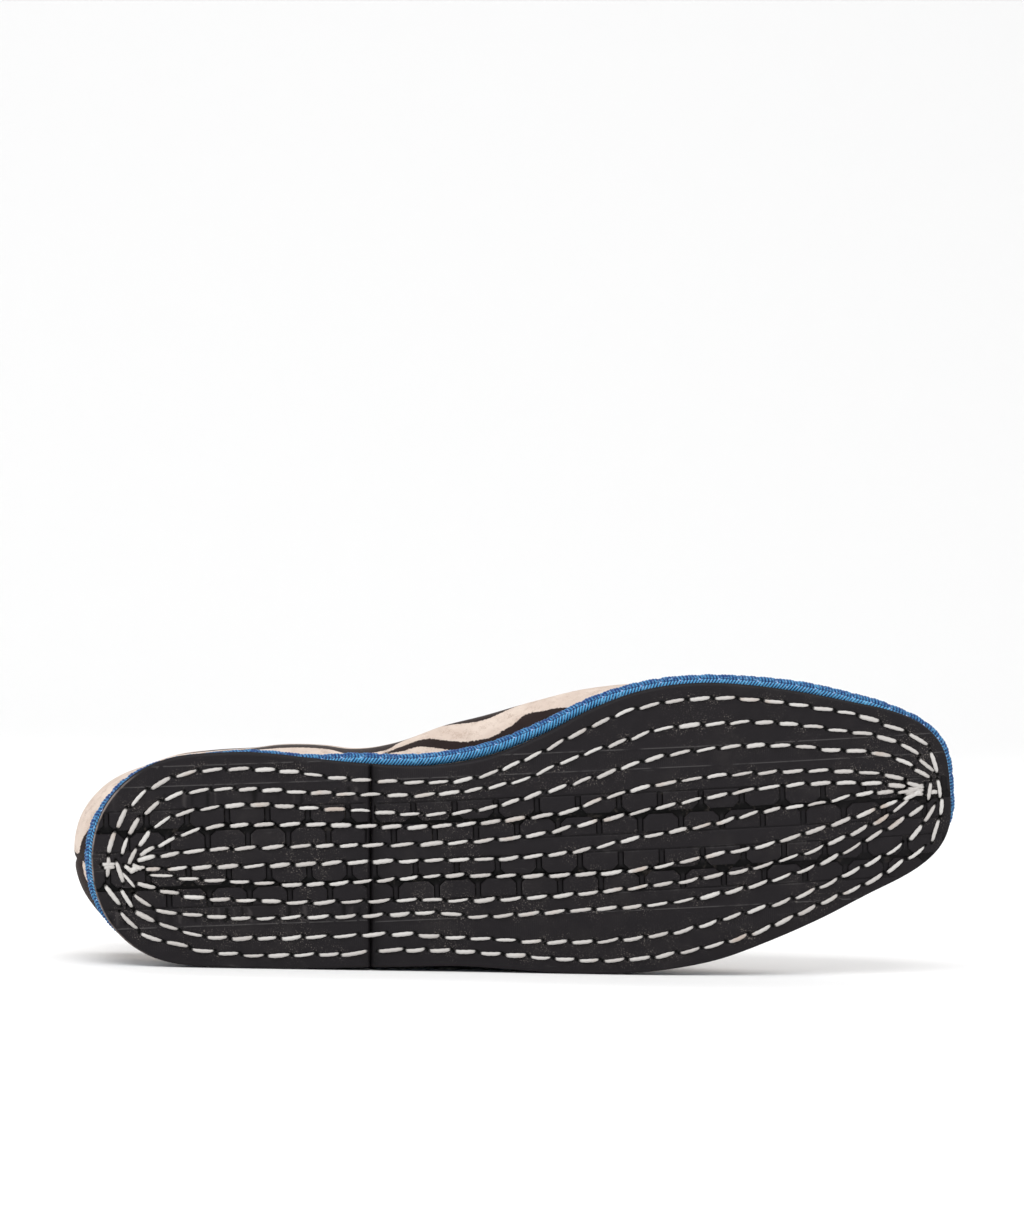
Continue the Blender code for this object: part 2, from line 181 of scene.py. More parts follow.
def join(tree, shader, **links):
    """Links values to the shader's sockets."""
    for socket, value in links.items():
        tree.links.new(value, shader.inputs[socket.replace("_", " ")])


def object_place(tree):
    return put(tree, "ShaderNodeTexCoord").outputs["Object"]


print("node helpers ready")

# %% [markdown]
# ## Effects that several finishes share
#
# Cloth and rubber gather dust and scuffs, threads and pile have fine fibres, and lining and insole are
# woven. Each effect is one node group, built once and placed in every finish with its own values.

# %% Shared effects
def new_group(name, inputs, outputs):
    """The tree of a new node group with named sockets, and the sockets of what it is given."""
    tree = bpy.data.node_groups.new(name, "ShaderNodeTree")
    for socket, (kind, value) in inputs.items():
        made = tree.interface.new_socket(socket, in_out="INPUT", socket_type=kind)
        if value is not None:
            made.default_value = value
    for socket in outputs:
        tree.interface.new_socket(socket, in_out="OUTPUT", socket_type="NodeSocketFloat")
    return tree, tree.nodes.new("NodeGroupInput").outputs


def close_group(tree, **outputs):
    end = tree.nodes.new("NodeGroupOutput")
    for socket, value in outputs.items():
        tree.links.new(value, end.inputs[socket])
    return tree


def scuff_group():
    """Soft patches of dust, and thin broken scratches."""
    tree, given = new_group("dust_and_scuffs", {
        "Place": ("NodeSocketVector", None),
        "Patch Scale": ("NodeSocketFloat", 60.0),
        "Scratch Scale": ("NodeSocketFloat", 900.0)}, ("Dust", "Scratch"))
    patches = clouds(tree, given["Place"], given["Patch Scale"], 5.0, 0.62)
    fine = clouds(tree, given["Place"], given["Scratch Scale"], 2.0)
    stretched = put(tree, "ShaderNodeMapping", {"Vector": given["Place"], "Scale": (0.12, 1.0, 1.0)})
    streaks = clouds(tree, stretched.outputs["Vector"], given["Scratch Scale"], 3.0, 0.7)
    dust = times(tree, mask(tree, patches, 0.5, 0.78), calc(tree, "ADD", 0.55, fine))
    scratch = times(tree, mask(tree, streaks, 0.66, 0.74), mask(tree, patches, 0.45, 0.6))
    return close_group(tree, Dust=dust, Scratch=scratch)


def fibre_group():
    """Fine hairs: a height for bump and a shade for colour."""
    tree, given = new_group("fine_fibres", {
        "Place": ("NodeSocketVector", None),
        "Scale": ("NodeSocketFloat", 3000.0)}, ("Height", "Shade"))
    hairs = clouds(tree, given["Place"], given["Scale"], 4.0, 0.7)
    tufts = clouds(tree, given["Place"], times(tree, given["Scale"], 0.13), 3.0, 0.6)
    shade = calc(tree, "ADD", times(tree, hairs, 0.5), times(tree, tufts, 0.5))
    return close_group(tree, Height=hairs, Shade=shade)


def weave_group():
    """Plain weave from two crossing sets of threads, each over and under the other."""
    tree, given = new_group("plain_weave", {
        "Along": ("NodeSocketFloat", 0.0),
        "Across": ("NodeSocketFloat", 0.0),
        "Thread": ("NodeSocketFloat", 0.6)}, ("Height", "Shade"))
    first = times(tree, calc(tree, "DIVIDE", given["Along"], given["Thread"]), math.pi)
    second = times(tree, calc(tree, "DIVIDE", given["Across"], given["Thread"]), math.pi)
    first, second = calc(tree, "SINE", first), calc(tree, "SINE", second)
    on_top = mask(tree, times(tree, first, second), -0.1, 0.1)
    below = calc(tree, "SUBTRACT", 1.0, on_top)
    warp = times(tree, calc(tree, "ABSOLUTE", first), on_top)
    weft = times(tree, calc(tree, "ABSOLUTE", second), below)
    height = calc(tree, "MAXIMUM", warp, weft)
    return close_group(tree, Height=height, Shade=calc(tree, "MULTIPLY_ADD", height, 0.5, 0.5))


EFFECTS = {group.name: group for group in (scuff_group(), fibre_group(), weave_group())}


def effect(tree, name, **inputs):
    """Places a shared effect in a finish and gives its outputs."""
    made = tree.nodes.new("ShaderNodeGroup")
    made.node_tree = EFFECTS[name]
    for socket, value in inputs.items():
        target = made.inputs[socket.replace("_", " ")]
        if isinstance(value, bpy.types.NodeSocket):
            tree.links.new(value, target)
        else:
            target.default_value = value
    return made.outputs


print("shared effects", sorted(EFFECTS))

# %% [markdown]
# ## Studio
#
# A plain pale sweep runs under the shoe and up behind it, so there is no horizon. Large soft lights stand
# where a product studio would hang them: one broad light high in front, one on each side and one above
# the back, in a pale room. From behind the sweep is clear, so that the shoe can be looked at from every
# side.

# %% Floor, lights and room
SWEEP_HALF_WIDTH = 4.0
SWEEP_FRONT = -4.0
SWEEP_BACK = 1.2
SWEEP_RADIUS = 0.8
SWEEP_TOP = 3.5
SWEEP_STEPS = 16
FLOOR_COLOUR = (0.9, 0.9, 0.9, 1)

profile = [(SWEEP_FRONT, 0.0), (SWEEP_BACK, 0.0)]
for step in range(1, SWEEP_STEPS + 1):
    turn = math.pi / 2 * step / SWEEP_STEPS
    profile.append((SWEEP_BACK + SWEEP_RADIUS * math.sin(turn), SWEEP_RADIUS * (1 - math.cos(turn))))
profile.append((SWEEP_BACK + SWEEP_RADIUS, SWEEP_TOP))
corners = [(side * SWEEP_HALF_WIDTH, y, z) for y, z in profile for side in (-1, 1)]
strips = [(2 * i, 2 * i + 1, 2 * i + 3, 2 * i + 2) for i in range(len(profile) - 1)]
floor_mesh = bpy.data.meshes.new("floor")
floor_mesh.from_pydata(corners, [], strips)
floor_mesh.shade_smooth()
floor_finish, tree, shader = new_finish(
    "pale_floor", Base_Color=FLOOR_COLOUR, Roughness=0.8, Specular_IOR_Level=0.1)
behind = put(tree, "ShaderNodeNewGeometry").outputs["Backfacing"]
clear = put(tree, "ShaderNodeBsdfTransparent").outputs["BSDF"]
seen = put(tree, "ShaderNodeMixShader", {0: behind, 1: shader.outputs["BSDF"], 2: clear}).outputs[0]
tree.links.new(seen, tree.nodes["Material Output"].inputs["Surface"])
floor_mesh.materials.append(floor_finish)
floor = bpy.data.objects.new("floor", floor_mesh)
bpy.context.scene.collection.objects.link(floor)

# Place, size and power of each light, in metres and watts
LIGHTS = {
    "high_front": ((-0.25, -1.3, 1.5), (1.6, 1.0), 26.0),
    "left_side": ((-1.5, -0.5, 0.7), (0.9, 0.9), 9.0),
    "right_side": ((1.6, -0.3, 0.8), (0.9, 0.9), 8.0),
    "overhead_back": ((0.1, 0.8, 1.6), (1.6, 0.8), 9.0),
}
LIGHT_AIM = Vector((0, 0, 0.04))
for name, (spot, size, power) in LIGHTS.items():
    lamp = bpy.data.lights.new(name, "AREA")
    lamp.shape = "RECTANGLE"
    lamp.size, lamp.size_y = size
    lamp.energy = power
    light = bpy.data.objects.new(name, lamp)
    light.location = spot
    light.rotation_euler = (LIGHT_AIM - Vector(spot)).to_track_quat("-Z", "Y").to_euler()
    bpy.context.scene.collection.objects.link(light)

ROOM_STRENGTH = 0.55
room = bpy.data.worlds.new("pale_room")
room.use_nodes = True
room.node_tree.nodes["Background"].inputs["Color"].default_value = (1, 1, 1, 1)
room.node_tree.nodes["Background"].inputs["Strength"].default_value = ROOM_STRENGTH
bpy.context.scene.world = room
bpy.context.scene.view_settings.view_transform = "Standard"
print("lights", len(LIGHTS))

# %% [markdown]
# ## The last
#
# Everything follows the last, the form that the shoe was made over. Its tables give widths along the
# foot, and smooth curves run through their rows. The same sizes shape the solids, so the dressed pieces
# lie on them.

# %% Sizes of the last
SOLE_BACK, SOLE_FRONT = -1.1, 263.9
SOLE_THICKNESS = 4.5
FLAT_LENGTH = 165.0
TOE_SPRING = 7.3
HEEL_ROUND, HEEL_SQUARENESS = 34.0, 2.15
TOE_ROUND, TOE_SQUARENESS = 27.0, 3.3
CLEARANCE = 0.3
WALL = 2.2
INSOLE_THICKNESS = 3.0
LOBE_RADIUS = 1.25
LOBE_SPACING = 1.7
LOBE_LEAN = math.radians(50)
OUTLINE_SAMPLES = 1200

# Half width of the sole, stand of the piping and swell of the wall, on the inner and the outer side
SECTION_COLUMNS = ("x", "sole_in", "sole_out", "stand_in", "stand_out", "bulge_in", "bulge_out")
SECTIONS = np.array([
    (-1.1, 30.7, 34.5, 1.9, 1.9, 8.1, 8.1),
    (1, 30.7, 34.5, 1.6, 1.5, 7.4, 7.0),
    (4, 30.8, 34.4, 0.9, 0.9, 6.2, 6.4),
    (12, 30.8, 34.3, 0.2, 0.2, 2.6, 4.8),
    (28, 30.9, 34.3, -0.7, -0.4, 1.8, 6.2),
    (42, 30.7, 35.8, -0.3, -0.4, 1.9, 6.5),
    (50, 30.1, 36.8, 0.1, -0.4, 2.15, 6.6),
    (58, 28.8, 37.4, 0.25, -0.4, 3.8, 6.9),
    (66, 27.2, 38.0, 0.35, -0.4, 4.75, 7.2),
    (72, 26.0, 38.4, 0.9, -0.4, 4.5, 7.6),
    (81, 24.3, 39.0, 2.3, -0.4, 3.0, 8.3),
    (86, 23.5, 39.4, 2.6, -0.4, 3.4, 8.8),
    (92, 22.6, 39.8, 2.7, -0.4, 5.0, 9.2),
    (110, 21.3, 41.2, 3.5, -0.4, 10.6, 10.1),
    (125, 23.1, 43.5, 3.7, -0.4, 11.3, 9.6),
    (140, 28.2, 45.9, 3.3, -0.4, 10.0, 9.3),
    (156, 35.0, 47.5, 2.8, -0.4, 6.8, 8.2),
    (172, 39.2, 47.6, 2.1, -0.4, 4.2, 5.3),
    (188, 39.9, 45.9, 1.9, -0.4, 1.3, 3.0),
    (204, 37.8, 41.7, 2.2, -0.4, 0.6, 2.0),
    (220, 34.1, 36.4, 2.7, -0.4, 0.3, 1.6),
    (240, 28.2, 28.5, 2.0, -0.2, 0.3, 1.0),
    (254, 24.2, 24.0, 1.0, 0.0, 0.3, 0.5),
    (262, 22.2, 21.9, 1.5, 0.4, 0.3, 0.3),
    (263.9, 21.9, 21.4, 1.8, 1.8, 0.3, 0.3),
])


def smooth(table, columns, name, x):
    """Value of a table's column at x, on a smooth curve through its rows."""
    knots = table[:, 0]
    values = table[:, columns.index(name)]
    slopes = np.gradient(values, knots)
    place = np.clip(np.asarray(x, dtype=float), knots[0], knots[-1])
    row = np.clip(np.searchsorted(knots, place) - 1, 0, len(knots) - 2)
    span = knots[row + 1] - knots[row]
    u = (place - knots[row]) / span
    start = values[row] * (1 + 2 * u) * (1 - u) ** 2 + slopes[row] * span * u * (1 - u) ** 2
    end = values[row + 1] * u * u * (3 - 2 * u) + slopes[row + 1] * span * u * u * (u - 1)
    return start + end


def section(name, x):
    return smooth(SECTIONS, SECTION_COLUMNS, name, x)


def rise(x):
    """Height of the ground face at x: flat from the heel, then the toe spring."""
    return TOE_SPRING * np.clip((x - FLAT_LENGTH) / (SOLE_FRONT - FLAT_LENGTH), 0, None) ** 2


def soft_step(value, low, high):
    share = np.clip((value - low) / (high - low), 0, 1)
    return share * share * (3 - 2 * share)


print("last of", SOLE_FRONT - SOLE_BACK, "mm")

# %% [markdown]
# Three loops run round the shoe: the edge of the sole, the lower edge of the upper just inside the
# piping, and the line where the upper's wall is fullest. Runs along a side are measured by the distance
# travelled, so that stitches, ribs and mesh columns can be spaced evenly.

# %% Lines round the shoe
def end_round(distance, length, squareness):
    inside = 1 - np.clip(distance / length, 0, 1)
    return (1 - inside ** squareness) ** (1 / squareness)


def sole_outline():
    """The edge of the sole as one loop: heel, inner side, toe, outer side, with its outward normals."""
    turn = np.linspace(0, math.pi, OUTLINE_SAMPLES)
    x = SOLE_BACK + (SOLE_FRONT - SOLE_BACK) * (1 - np.cos(turn)) / 2
    narrowing = end_round(x - SOLE_BACK, HEEL_ROUND, HEEL_SQUARENESS)
    narrowing = narrowing * end_round(SOLE_FRONT - x, TOE_ROUND, TOE_SQUARENESS)
    middle = (section("sole_out", x) - section("sole_in", x)) / 2
    half = (section("sole_out", x) + section("sole_in", x)) / 2 * narrowing
    inner = np.column_stack([x, middle - half])
    outer = np.column_stack([x, middle + half])
    loop = np.concatenate([inner, outer[-2:0:-1]])
    along = np.roll(loop, -1, axis=0) - np.roll(loop, 1, axis=0)
    normal = np.column_stack([along[:, 1], -along[:, 0]])
    return loop, normal / np.linalg.norm(normal, axis=1, keepdims=True)


def side_value(name, loop):
    """A column of the sections at each point of a loop, by the point's side."""
    values = section(name + "_out", loop[:, 0])
    values[:OUTLINE_SAMPLES] = section(name + "_in", loop[:OUTLINE_SAMPLES, 0])
    return values[:, None]


def sides(loop):
    """A loop split into its inner and outer run, each from toe to heel."""
    inner = loop[OUTLINE_SAMPLES - 1::-1]
    outer = np.concatenate([loop[OUTLINE_SAMPLES - 1:], loop[:1]])
    return inner, outer


def travelled(run):
    steps = np.linalg.norm(np.diff(run, axis=0), axis=1)
    return np.concatenate([[0], np.cumsum(steps)])


def along_run(run, distances):
    reached = travelled(run)
    return np.column_stack([np.interp(distances, reached, axis) for axis in run.T])


def cut_run(run, x_from, x_to, count):
    """Evenly spaced points of a run between two places along the shoe."""
    first, last = np.interp([-x_from, -x_to], -run[:, 0], travelled(run))
    return along_run(run, np.linspace(first, last, count))


PIPING_WIDTH = CLEARANCE + 2 * LOBE_RADIUS + LOBE_SPACING * math.cos(LOBE_LEAN)
edge, edge_normal = sole_outline()
foot = edge + edge_normal * (side_value("stand", edge) - PIPING_WIDTH)
full = foot + edge_normal * side_value("bulge", edge)
print("round the sole", round(travelled(edge)[-1]), "mm")

# %% [markdown]
# ## Meshes from arrays
#
# Each dressed piece is worked out as an array of points and an array of faces, and becomes a mesh in one
# go. Values that the finish needs, such as a distance along a thread, ride on the points as attributes.

# %% Mesh helpers
def grid_faces(columns, rows, closed):
    """Quads between columns of points, each column with the same number of rows."""
    first = np.arange(columns if closed else columns - 1)
    second = (first + 1) % columns
    row = np.arange(rows - 1)
    a = first[:, None] * rows + row
    b = second[:, None] * rows + row
    return np.stack([a, b, b + 1, a + 1], axis=-1).reshape(-1, 4)


def add_piece(name, points, faces, finishes, values=None):
    """A mesh object from points in the shoe's own millimetres, with its faces turned outwards."""
    mesh = bpy.data.meshes.new(name)
    mesh.from_pydata(laid(points), [], faces)
    for label, numbers in (values or {}).items():
        made = mesh.attributes.new(label, "FLOAT", "POINT")
        made.data.foreach_set("value", np.asarray(numbers, np.float32).ravel())
    bm = bmesh.new()
    bm.from_mesh(mesh)
    bmesh.ops.recalc_face_normals(bm, faces=bm.faces)
    bm.to_mesh(mesh)
    bm.free()
    mesh.shade_smooth()
    for finish in finishes:
        mesh.materials.append(finish)
    made = bpy.data.objects.new(name, mesh)
    bpy.context.scene.collection.objects.link(made)
    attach(made, "root")
    print(name, len(points), "points")
    return made


print("mesh helpers ready")

# %% [markdown]
# ## Stitch rows
#
# Eleven rows of thick waxed thread hold the sole on. They follow its outline, draw in at the waist and
# gather in knots at heel and toe. Each row is a smooth line through listed places. A stitch lies
# on each place, and others lie evenly between. The rubber needs to know where they go in, so the rows
# come before the sole.

# %% Where the rows run
STITCH_PITCH = 7.8
STITCH_SHARE, LENGTH_SPREAD = 0.87, 0.03
STITCH_SLANT, SLANT_SPREAD = math.radians(5), 0.3
# Places along each row, in the shoe's own x and y
STITCH_ROWS = (
    ((5.6, -6.3), (9.3, -13.5), (15, -19.3), (22, -23.3), (30, -25.6), (38, -26), (54, -24.7), (83, -19.1),
     (99, -17.1), (114, -16.5), (122, -17.7), (136, -22.1), (150, -27.9), (165, -33.1), (180.5, -35.4),
     (196, -35), (211, -32.5), (226, -28.8), (240, -24.4), (247.5, -20.8)),
    ((9.5, -4.9), (12.8, -10.8), (18.7, -15.9), (25.7, -19), (33.4, -19.9), (48.3, -19.2), (63, -17.1),
     (85.5, -14.3), (102, -12.9), (117, -13.2), (131.7, -15), (147, -20), (162, -23.9), (176.5, -27.1),
     (192.4, -27.3), (207.5, -26.3), (230, -21.7), (245, -17.6), (252, -13.6), (257, -8.1)),
    ((11.6, -1.5), (15.6, -6.7), (21.5, -11.3), (28.6, -13.6), (36.3, -14.4), (51.6, -14.2), (66.4, -11.8),
     (82, -9.6), (97, -7.4), (105, -6.7), (121, -7.2), (135, -9.9), (158, -14.8), (173, -18.3), (189, -19.6),
     (212, -18.7), (227.5, -16), (243, -12.9), (250, -9.8), (255.3, -5.7)),
    ((16.2, -2.6), (22.3, -5), (29.8, -7.5), (37.4, -8.4), (52.3, -7.8), (68.2, -6.6), (83.4, -4.8),
     (99, -3.2), (114, -2.8), (129, -3.1), (145.7, -4.2), (153, -6.2), (168, -9.3), (184, -10.8),
     (207.4, -10.9), (231, -8.8), (246.5, -5.6), (253, -2.3)),
    ((15.7, -0.5), (23, -1.1), (30.4, -1.5), (46, -1.1), (63, -0.3), (85, 1.2), (103, 2.4), (119, 2.6),
     (135, 2.2), (151, 0), (167.4, -2.2), (191.4, -5), (215.7, -6.2), (231.5, -5.1), (247.2, -2.8),
     (253, -1)),
    ((13.4, 2.1), (17.5, 2.9), (24.9, 3.3), (32.4, 3.6), (48.3, 4.6), (80, 6.1), (103.3, 7.4), (118.6, 8.4),
     (148.7, 8.2), (163.7, 6.1), (186, 3.9), (208, 0.9), (222, 0.4), (237, -1.4), (250, -0.5)),
    ((19.9, 5.1), (28.1, 6.8), (36, 7.9), (51, 10.1), (59.4, 11.3), (81, 12.1), (109.3, 12.6), (125, 14.2),
     (141.4, 15.3), (157.3, 15.8), (173.6, 15), (189.5, 13.1), (205, 11.5), (221, 8.4), (237, 4.7),
     (244.3, 2.7), (252.1, 0.8)),
    ((15.1, 7.8), (21.9, 10.5), (29.3, 12.6), (45, 14.9), (60.5, 16.8), (94, 19), (109.7, 20.4), (142, 21.6),
     (165, 21.1), (188.5, 19.6), (204, 17.8), (220, 14.4), (234.4, 9.8), (241.5, 7.1), (248, 3.6)),
    ((9.7, 5.7), (13.6, 12.4), (20.5, 16.4), (28.4, 18), (43, 20.3), (58.3, 21.3), (91.6, 23.1), (99.3, 23.3),
     (115.4, 25.9), (131, 26.4), (155, 26.8), (170.6, 26.9), (187, 25.6), (209.4, 22), (224.6, 17.9),
     (239, 12), (246.2, 8.8), (252.7, 5.6)),
    ((7.3, 3), (8.8, 11.4), (13.9, 17.4), (20.8, 21), (27.9, 23.9), (43, 26.5), (65.5, 28), (92, 29.5),
     (108, 31.8), (123.4, 34), (139, 36), (154.6, 36.8), (178, 35.6), (193.3, 32.7), (216.4, 27.7),
     (231, 22.4), (245, 16.7), (252.1, 12.4), (256.9, 6.8)),
    ((4.6, 10), (9, 18.2), (15.3, 23.9), (23, 26.8), (30.7, 29.2), (46, 32.1), (61.4, 33.2), (76.7, 34.1),
     (88, 34.1), (103, 35.4), (118.5, 37.7), (133.7, 40.2), (148.4, 42.4), (164, 43.2), (179.6, 42.1),
     (202, 37.8), (223.7, 30.3), (238, 25.4), (251.8, 18.6)),
)
# Strands of the knots at heel and toe, from and to
KNOT_STRANDS = (
    ((4.3, -2.2), (3.3, 4.5)), ((2.0, 0.2), (6.4, 0.4)), ((2.5, 1.3), (6.2, 1.4)), ((8.8, 1.0), (11.3, 3.2)),
    ((12.9, 1.2), (10.2, 3.6)), ((9.4, 2.4), (13.2, 2.6)), ((11.2, 0.9), (14.3, 2.7)),
    ((257.9, -2.8), (256.6, 3.0)), ((260.0, -3.5), (260.4, 2.7)), ((261.0, 2.5), (260.1, 8.0)),
    ((257.4, 0.4), (259.9, 0.5)), ((249.6, -0.3), (255.5, 0.7)), ((250.6, 1.5), (255.3, -1.5)),
    ((249.3, 0.2), (255.8, -2.4)), ((258.4, -12.3), (260.1, -5.2)), ((259.7, 8.9), (256.9, 16.0)),
    ((251.9, -18.5), (257.9, -14.3)),
)


def turned_by(ways, angles):
    """Directions in the plane of the sole, turned by some angles."""
    cos, sin = np.cos(angles), np.sin(angles)
    return np.column_stack([ways[:, 0] * cos - ways[:, 1] * sin, ways[:, 0] * sin + ways[:, 1] * cos])


def row_stitches(places, chance):
    """Ends of each stitch: one on every place of the row and others evenly between, all aslant."""
    reached = travelled(np.array(places))
    table = np.column_stack([reached, places])
    counts = np.maximum(1, np.round(np.diff(reached) / STITCH_PITCH)).astype(int)
    middles = [np.linspace(first, last, count, endpoint=False)
               for first, last, count in zip(reached, reached[1:], counts)]
    middles = np.concatenate(middles + [reached[-1:]])

    def on_row(steps):
        return np.column_stack([smooth(table, ("reached", "x", "y"), axis, steps) for axis in ("x", "y")])

    ahead = on_row(middles + 1) - on_row(middles - 1)
    ahead /= np.linalg.norm(ahead, axis=1, keepdims=True)
    ahead = turned_by(ahead, -STITCH_SLANT * chance.normal(1, SLANT_SPREAD, len(middles)))
    half = np.gradient(middles) * STITCH_SHARE / 2 * chance.normal(1, LENGTH_SPREAD, len(middles))
    reach = ahead * half[:, None]
    middle = on_row(middles)
    return np.stack([middle - reach, middle + reach], axis=1)


chance = np.random.default_rng(11)
in_rows = [row_stitches(row, chance) for row in STITCH_ROWS]
stitches = np.concatenate(in_rows + [np.array(KNOT_STRANDS, float)])
stitch_length = np.linalg.norm(stitches[:, 1] - stitches[:, 0], axis=1)
stitch_along = (stitches[:, 1] - stitches[:, 0]) / stitch_length[:, None]
stitch_aside = np.column_stack([-stitch_along[:, 1], stitch_along[:, 0]])
print("stitches", len(stitches), "of", stitch_length.mean().round(1), "mm")

# %% [markdown]
# ## Rubber sole
#
# The sole is cut from tyre tread: a smooth rib with rows of blocks beside it, fine ridges further out,
# and everything cut through by the outline. A flat plate with a bump would lose the blocks at its edge,
# so the ground face is a mesh with points on every groove and around every stitch hole, triangulated
# inside the outline, and pressed down where grooves and holes are.

# %% Layout of the tread
# For each piece of the sole: a place on the rib, the rib's turn, its first gap and how far apart the gaps are
TREAD = {
    "outsole_heel": (48.0, 1.6, math.radians(2.8), 5.0, 12.3),
    "outsole_front": (118.0, 5.1, math.radians(2.3), 4.9, 12.6),
}
RIB_HALF = 2.4
BLOCK_ROWS = ((2.8, 8.4), (9.4, 15.0))
PLAIN_FROM, PLAIN_TO = 15.4, 60.0
BLOCK_GAP = 1.9
CORNER_ALONG, CORNER_ACROSS = 1.8, 1.7


def tread_place(node, points):
    """Places on the ground as u along the tread's rib and v across it."""
    x, y, turn = TREAD[node][:3]
    off = points - (x, y)
    return (off[:, 0] * math.cos(turn) + off[:, 1] * math.sin(turn),
            -off[:, 0] * math.sin(turn) + off[:, 1] * math.cos(turn))


def row_gap(node, number, side):
    """Place of a gap in a row of blocks. The rows run in bond, like bricks, and go on so across the rib."""
    first, pitch = TREAD[node][3:]
    return first + pitch / 2 * (number if side > 0 else number + 1)


def from_nearest(u, first, pitch):
    """Distance to the nearest of some evenly spaced places."""
    return np.abs((u - first + pitch / 2) % pitch - pitch / 2)


def in_row(node, u, v, number):
    """Distances from a row's nearest gap, from its side by the middle groove and from its other side."""
    near, far = BLOCK_ROWS[number]
    gap = np.where(v > 0, row_gap(node, number, 1), row_gap(node, number, -1))
    along = from_nearest(u, gap, TREAD[node][4]) - BLOCK_GAP / 2
    below, above = np.abs(v) - near, far - np.abs(v)
    return (along, above, below) if number == 0 else (along, below, above)


def land(node, u, v):
    """How far a place is inside the tread's raised faces, in millimetres, and negative in its grooves."""
    inside = np.maximum(RIB_HALF - np.abs(v), np.abs(v) - PLAIN_FROM)
    for number in range(len(BLOCK_ROWS)):
        along, by_groove, other = in_row(node, u, v, number)
        corner = along / CORNER_ALONG + by_groove / CORNER_ACROSS - 1
        corner = corner / math.hypot(1 / CORNER_ALONG, 1 / CORNER_ACROSS)
        inside = np.maximum(inside, np.minimum.reduce([along, by_groove, other, corner]))
    return inside


print("tread of", len(BLOCK_ROWS) * 2, "rows of blocks")

# %% [markdown]
# The depth of the tread is worked out place by place. The main grooves are deep, the gaps between blocks
# are shallower, the narrow grooves are nearly worn away, and the worn toe has less of them all. A stitch
# hole is a small oval pit. Every place also keeps what the finish has to know about it, such as how much
# wax lies there.

# %% Depth of the tread
JOINT_INNER, JOINT_OUTER = (86.3, -24.0), (81.5, 39.1)
# Painted shade beside the joint between the two pieces: its width, and how much of it each piece gets
SEAM_SHADE, SEAM_SHADE_SHARE = 2.3, {"outsole_heel": 0.3, "outsole_front": 1.0}
TREAD_DEPTH, GAP_DEPTH = 0.7, 0.4
FLOOR_BY_WALL, FLOOR_BY_GROOVE = (0.1, 0.45), 0.3
EDGE_WEAR, WORN_DEPTH = 0.4, 0.1
WORN_FROM, WORN_TO, WORN_SHARE = 185.0, 245.0, 0.45
FAINT_DEPTH, FAINT_TONE = 0.25, 0.005
LAND_LIMITS = (-0.6, 1)
# Fine ridges run along the sole at these places across the tread
RIDGES_AT = {"outsole_heel": (-28.7, -22.6, 21.0), "outsole_front": (-28.7, -22.6, 21.2)}
RIDGE_HEIGHT, RIDGE_WIDTH = 0.2, 0.3
SLOTS_FROM, SLOTS_TO, SLOT_DEPTH = 15.8, 20.6, 0.12
SLOTS_PER_MM, SLOT_SLICE = (0.42, 0.06), 3.0
WAVES_PER_MM, WAVE_SLICE, WAVE_HEIGHT = 0.05, 7.0, 0.12
HOLE_LENGTH, HOLE_WIDTH, HOLE_DEPTH = 0.85, 0.5, 0.7
WAX_RADIUS = 2.4


def gap_floor(node, u, v):
    """How much of a gap's shallow floor is at a place, 0 to 1. It sinks away towards the middle groove."""
    floor = np.zeros(len(u))
    for number in range(len(BLOCK_ROWS)):
        along, by_groove, other = in_row(node, u, v, number)
        here = soft_step(-along, *FLOOR_BY_WALL) * soft_step(by_groove, FLOOR_BY_GROOVE, CORNER_ACROSS)
        floor = np.maximum(floor, here * (other > 0))
    return floor


def near_stitches(points):
    """How much of a stitch hole is at a place, from 0 to 1, and how much of the waxy dirt around it."""
    hole = np.zeros(len(points))
    wax = np.zeros(len(points))
    for ends, along, aside in zip(stitches, stitch_along, stitch_aside):
        for end in ends:
            near = np.abs(points - end).max(axis=1) < 2 * WAX_RADIUS
            off = points[near] - end
            away = (off @ along / HOLE_LENGTH) ** 2 + (off @ aside / HOLE_WIDTH) ** 2
            hole[near] = np.maximum(hole[near], np.exp(-away))
            wax[near] = np.maximum(wax[near], np.exp(-(off ** 2).sum(axis=1) / WAX_RADIUS ** 2))
    return hole, wax


def is_faint(v):
    """Which places are in the narrow grooves beside the rib and outside the blocks."""
    by_rib = (np.abs(v) > RIB_HALF) & (np.abs(v) < BLOCK_ROWS[0][0])
    return by_rib | (np.abs(v) > BLOCK_ROWS[1][1]) & (np.abs(v) < PLAIN_FROM)


def noise_at(first, second, first_rate, second_rate, slice_at):
    """Soft noise over pairs of numbers."""
    return np.array([noise.noise((a * first_rate, b * second_rate, slice_at)) for a, b in zip(first, second)])


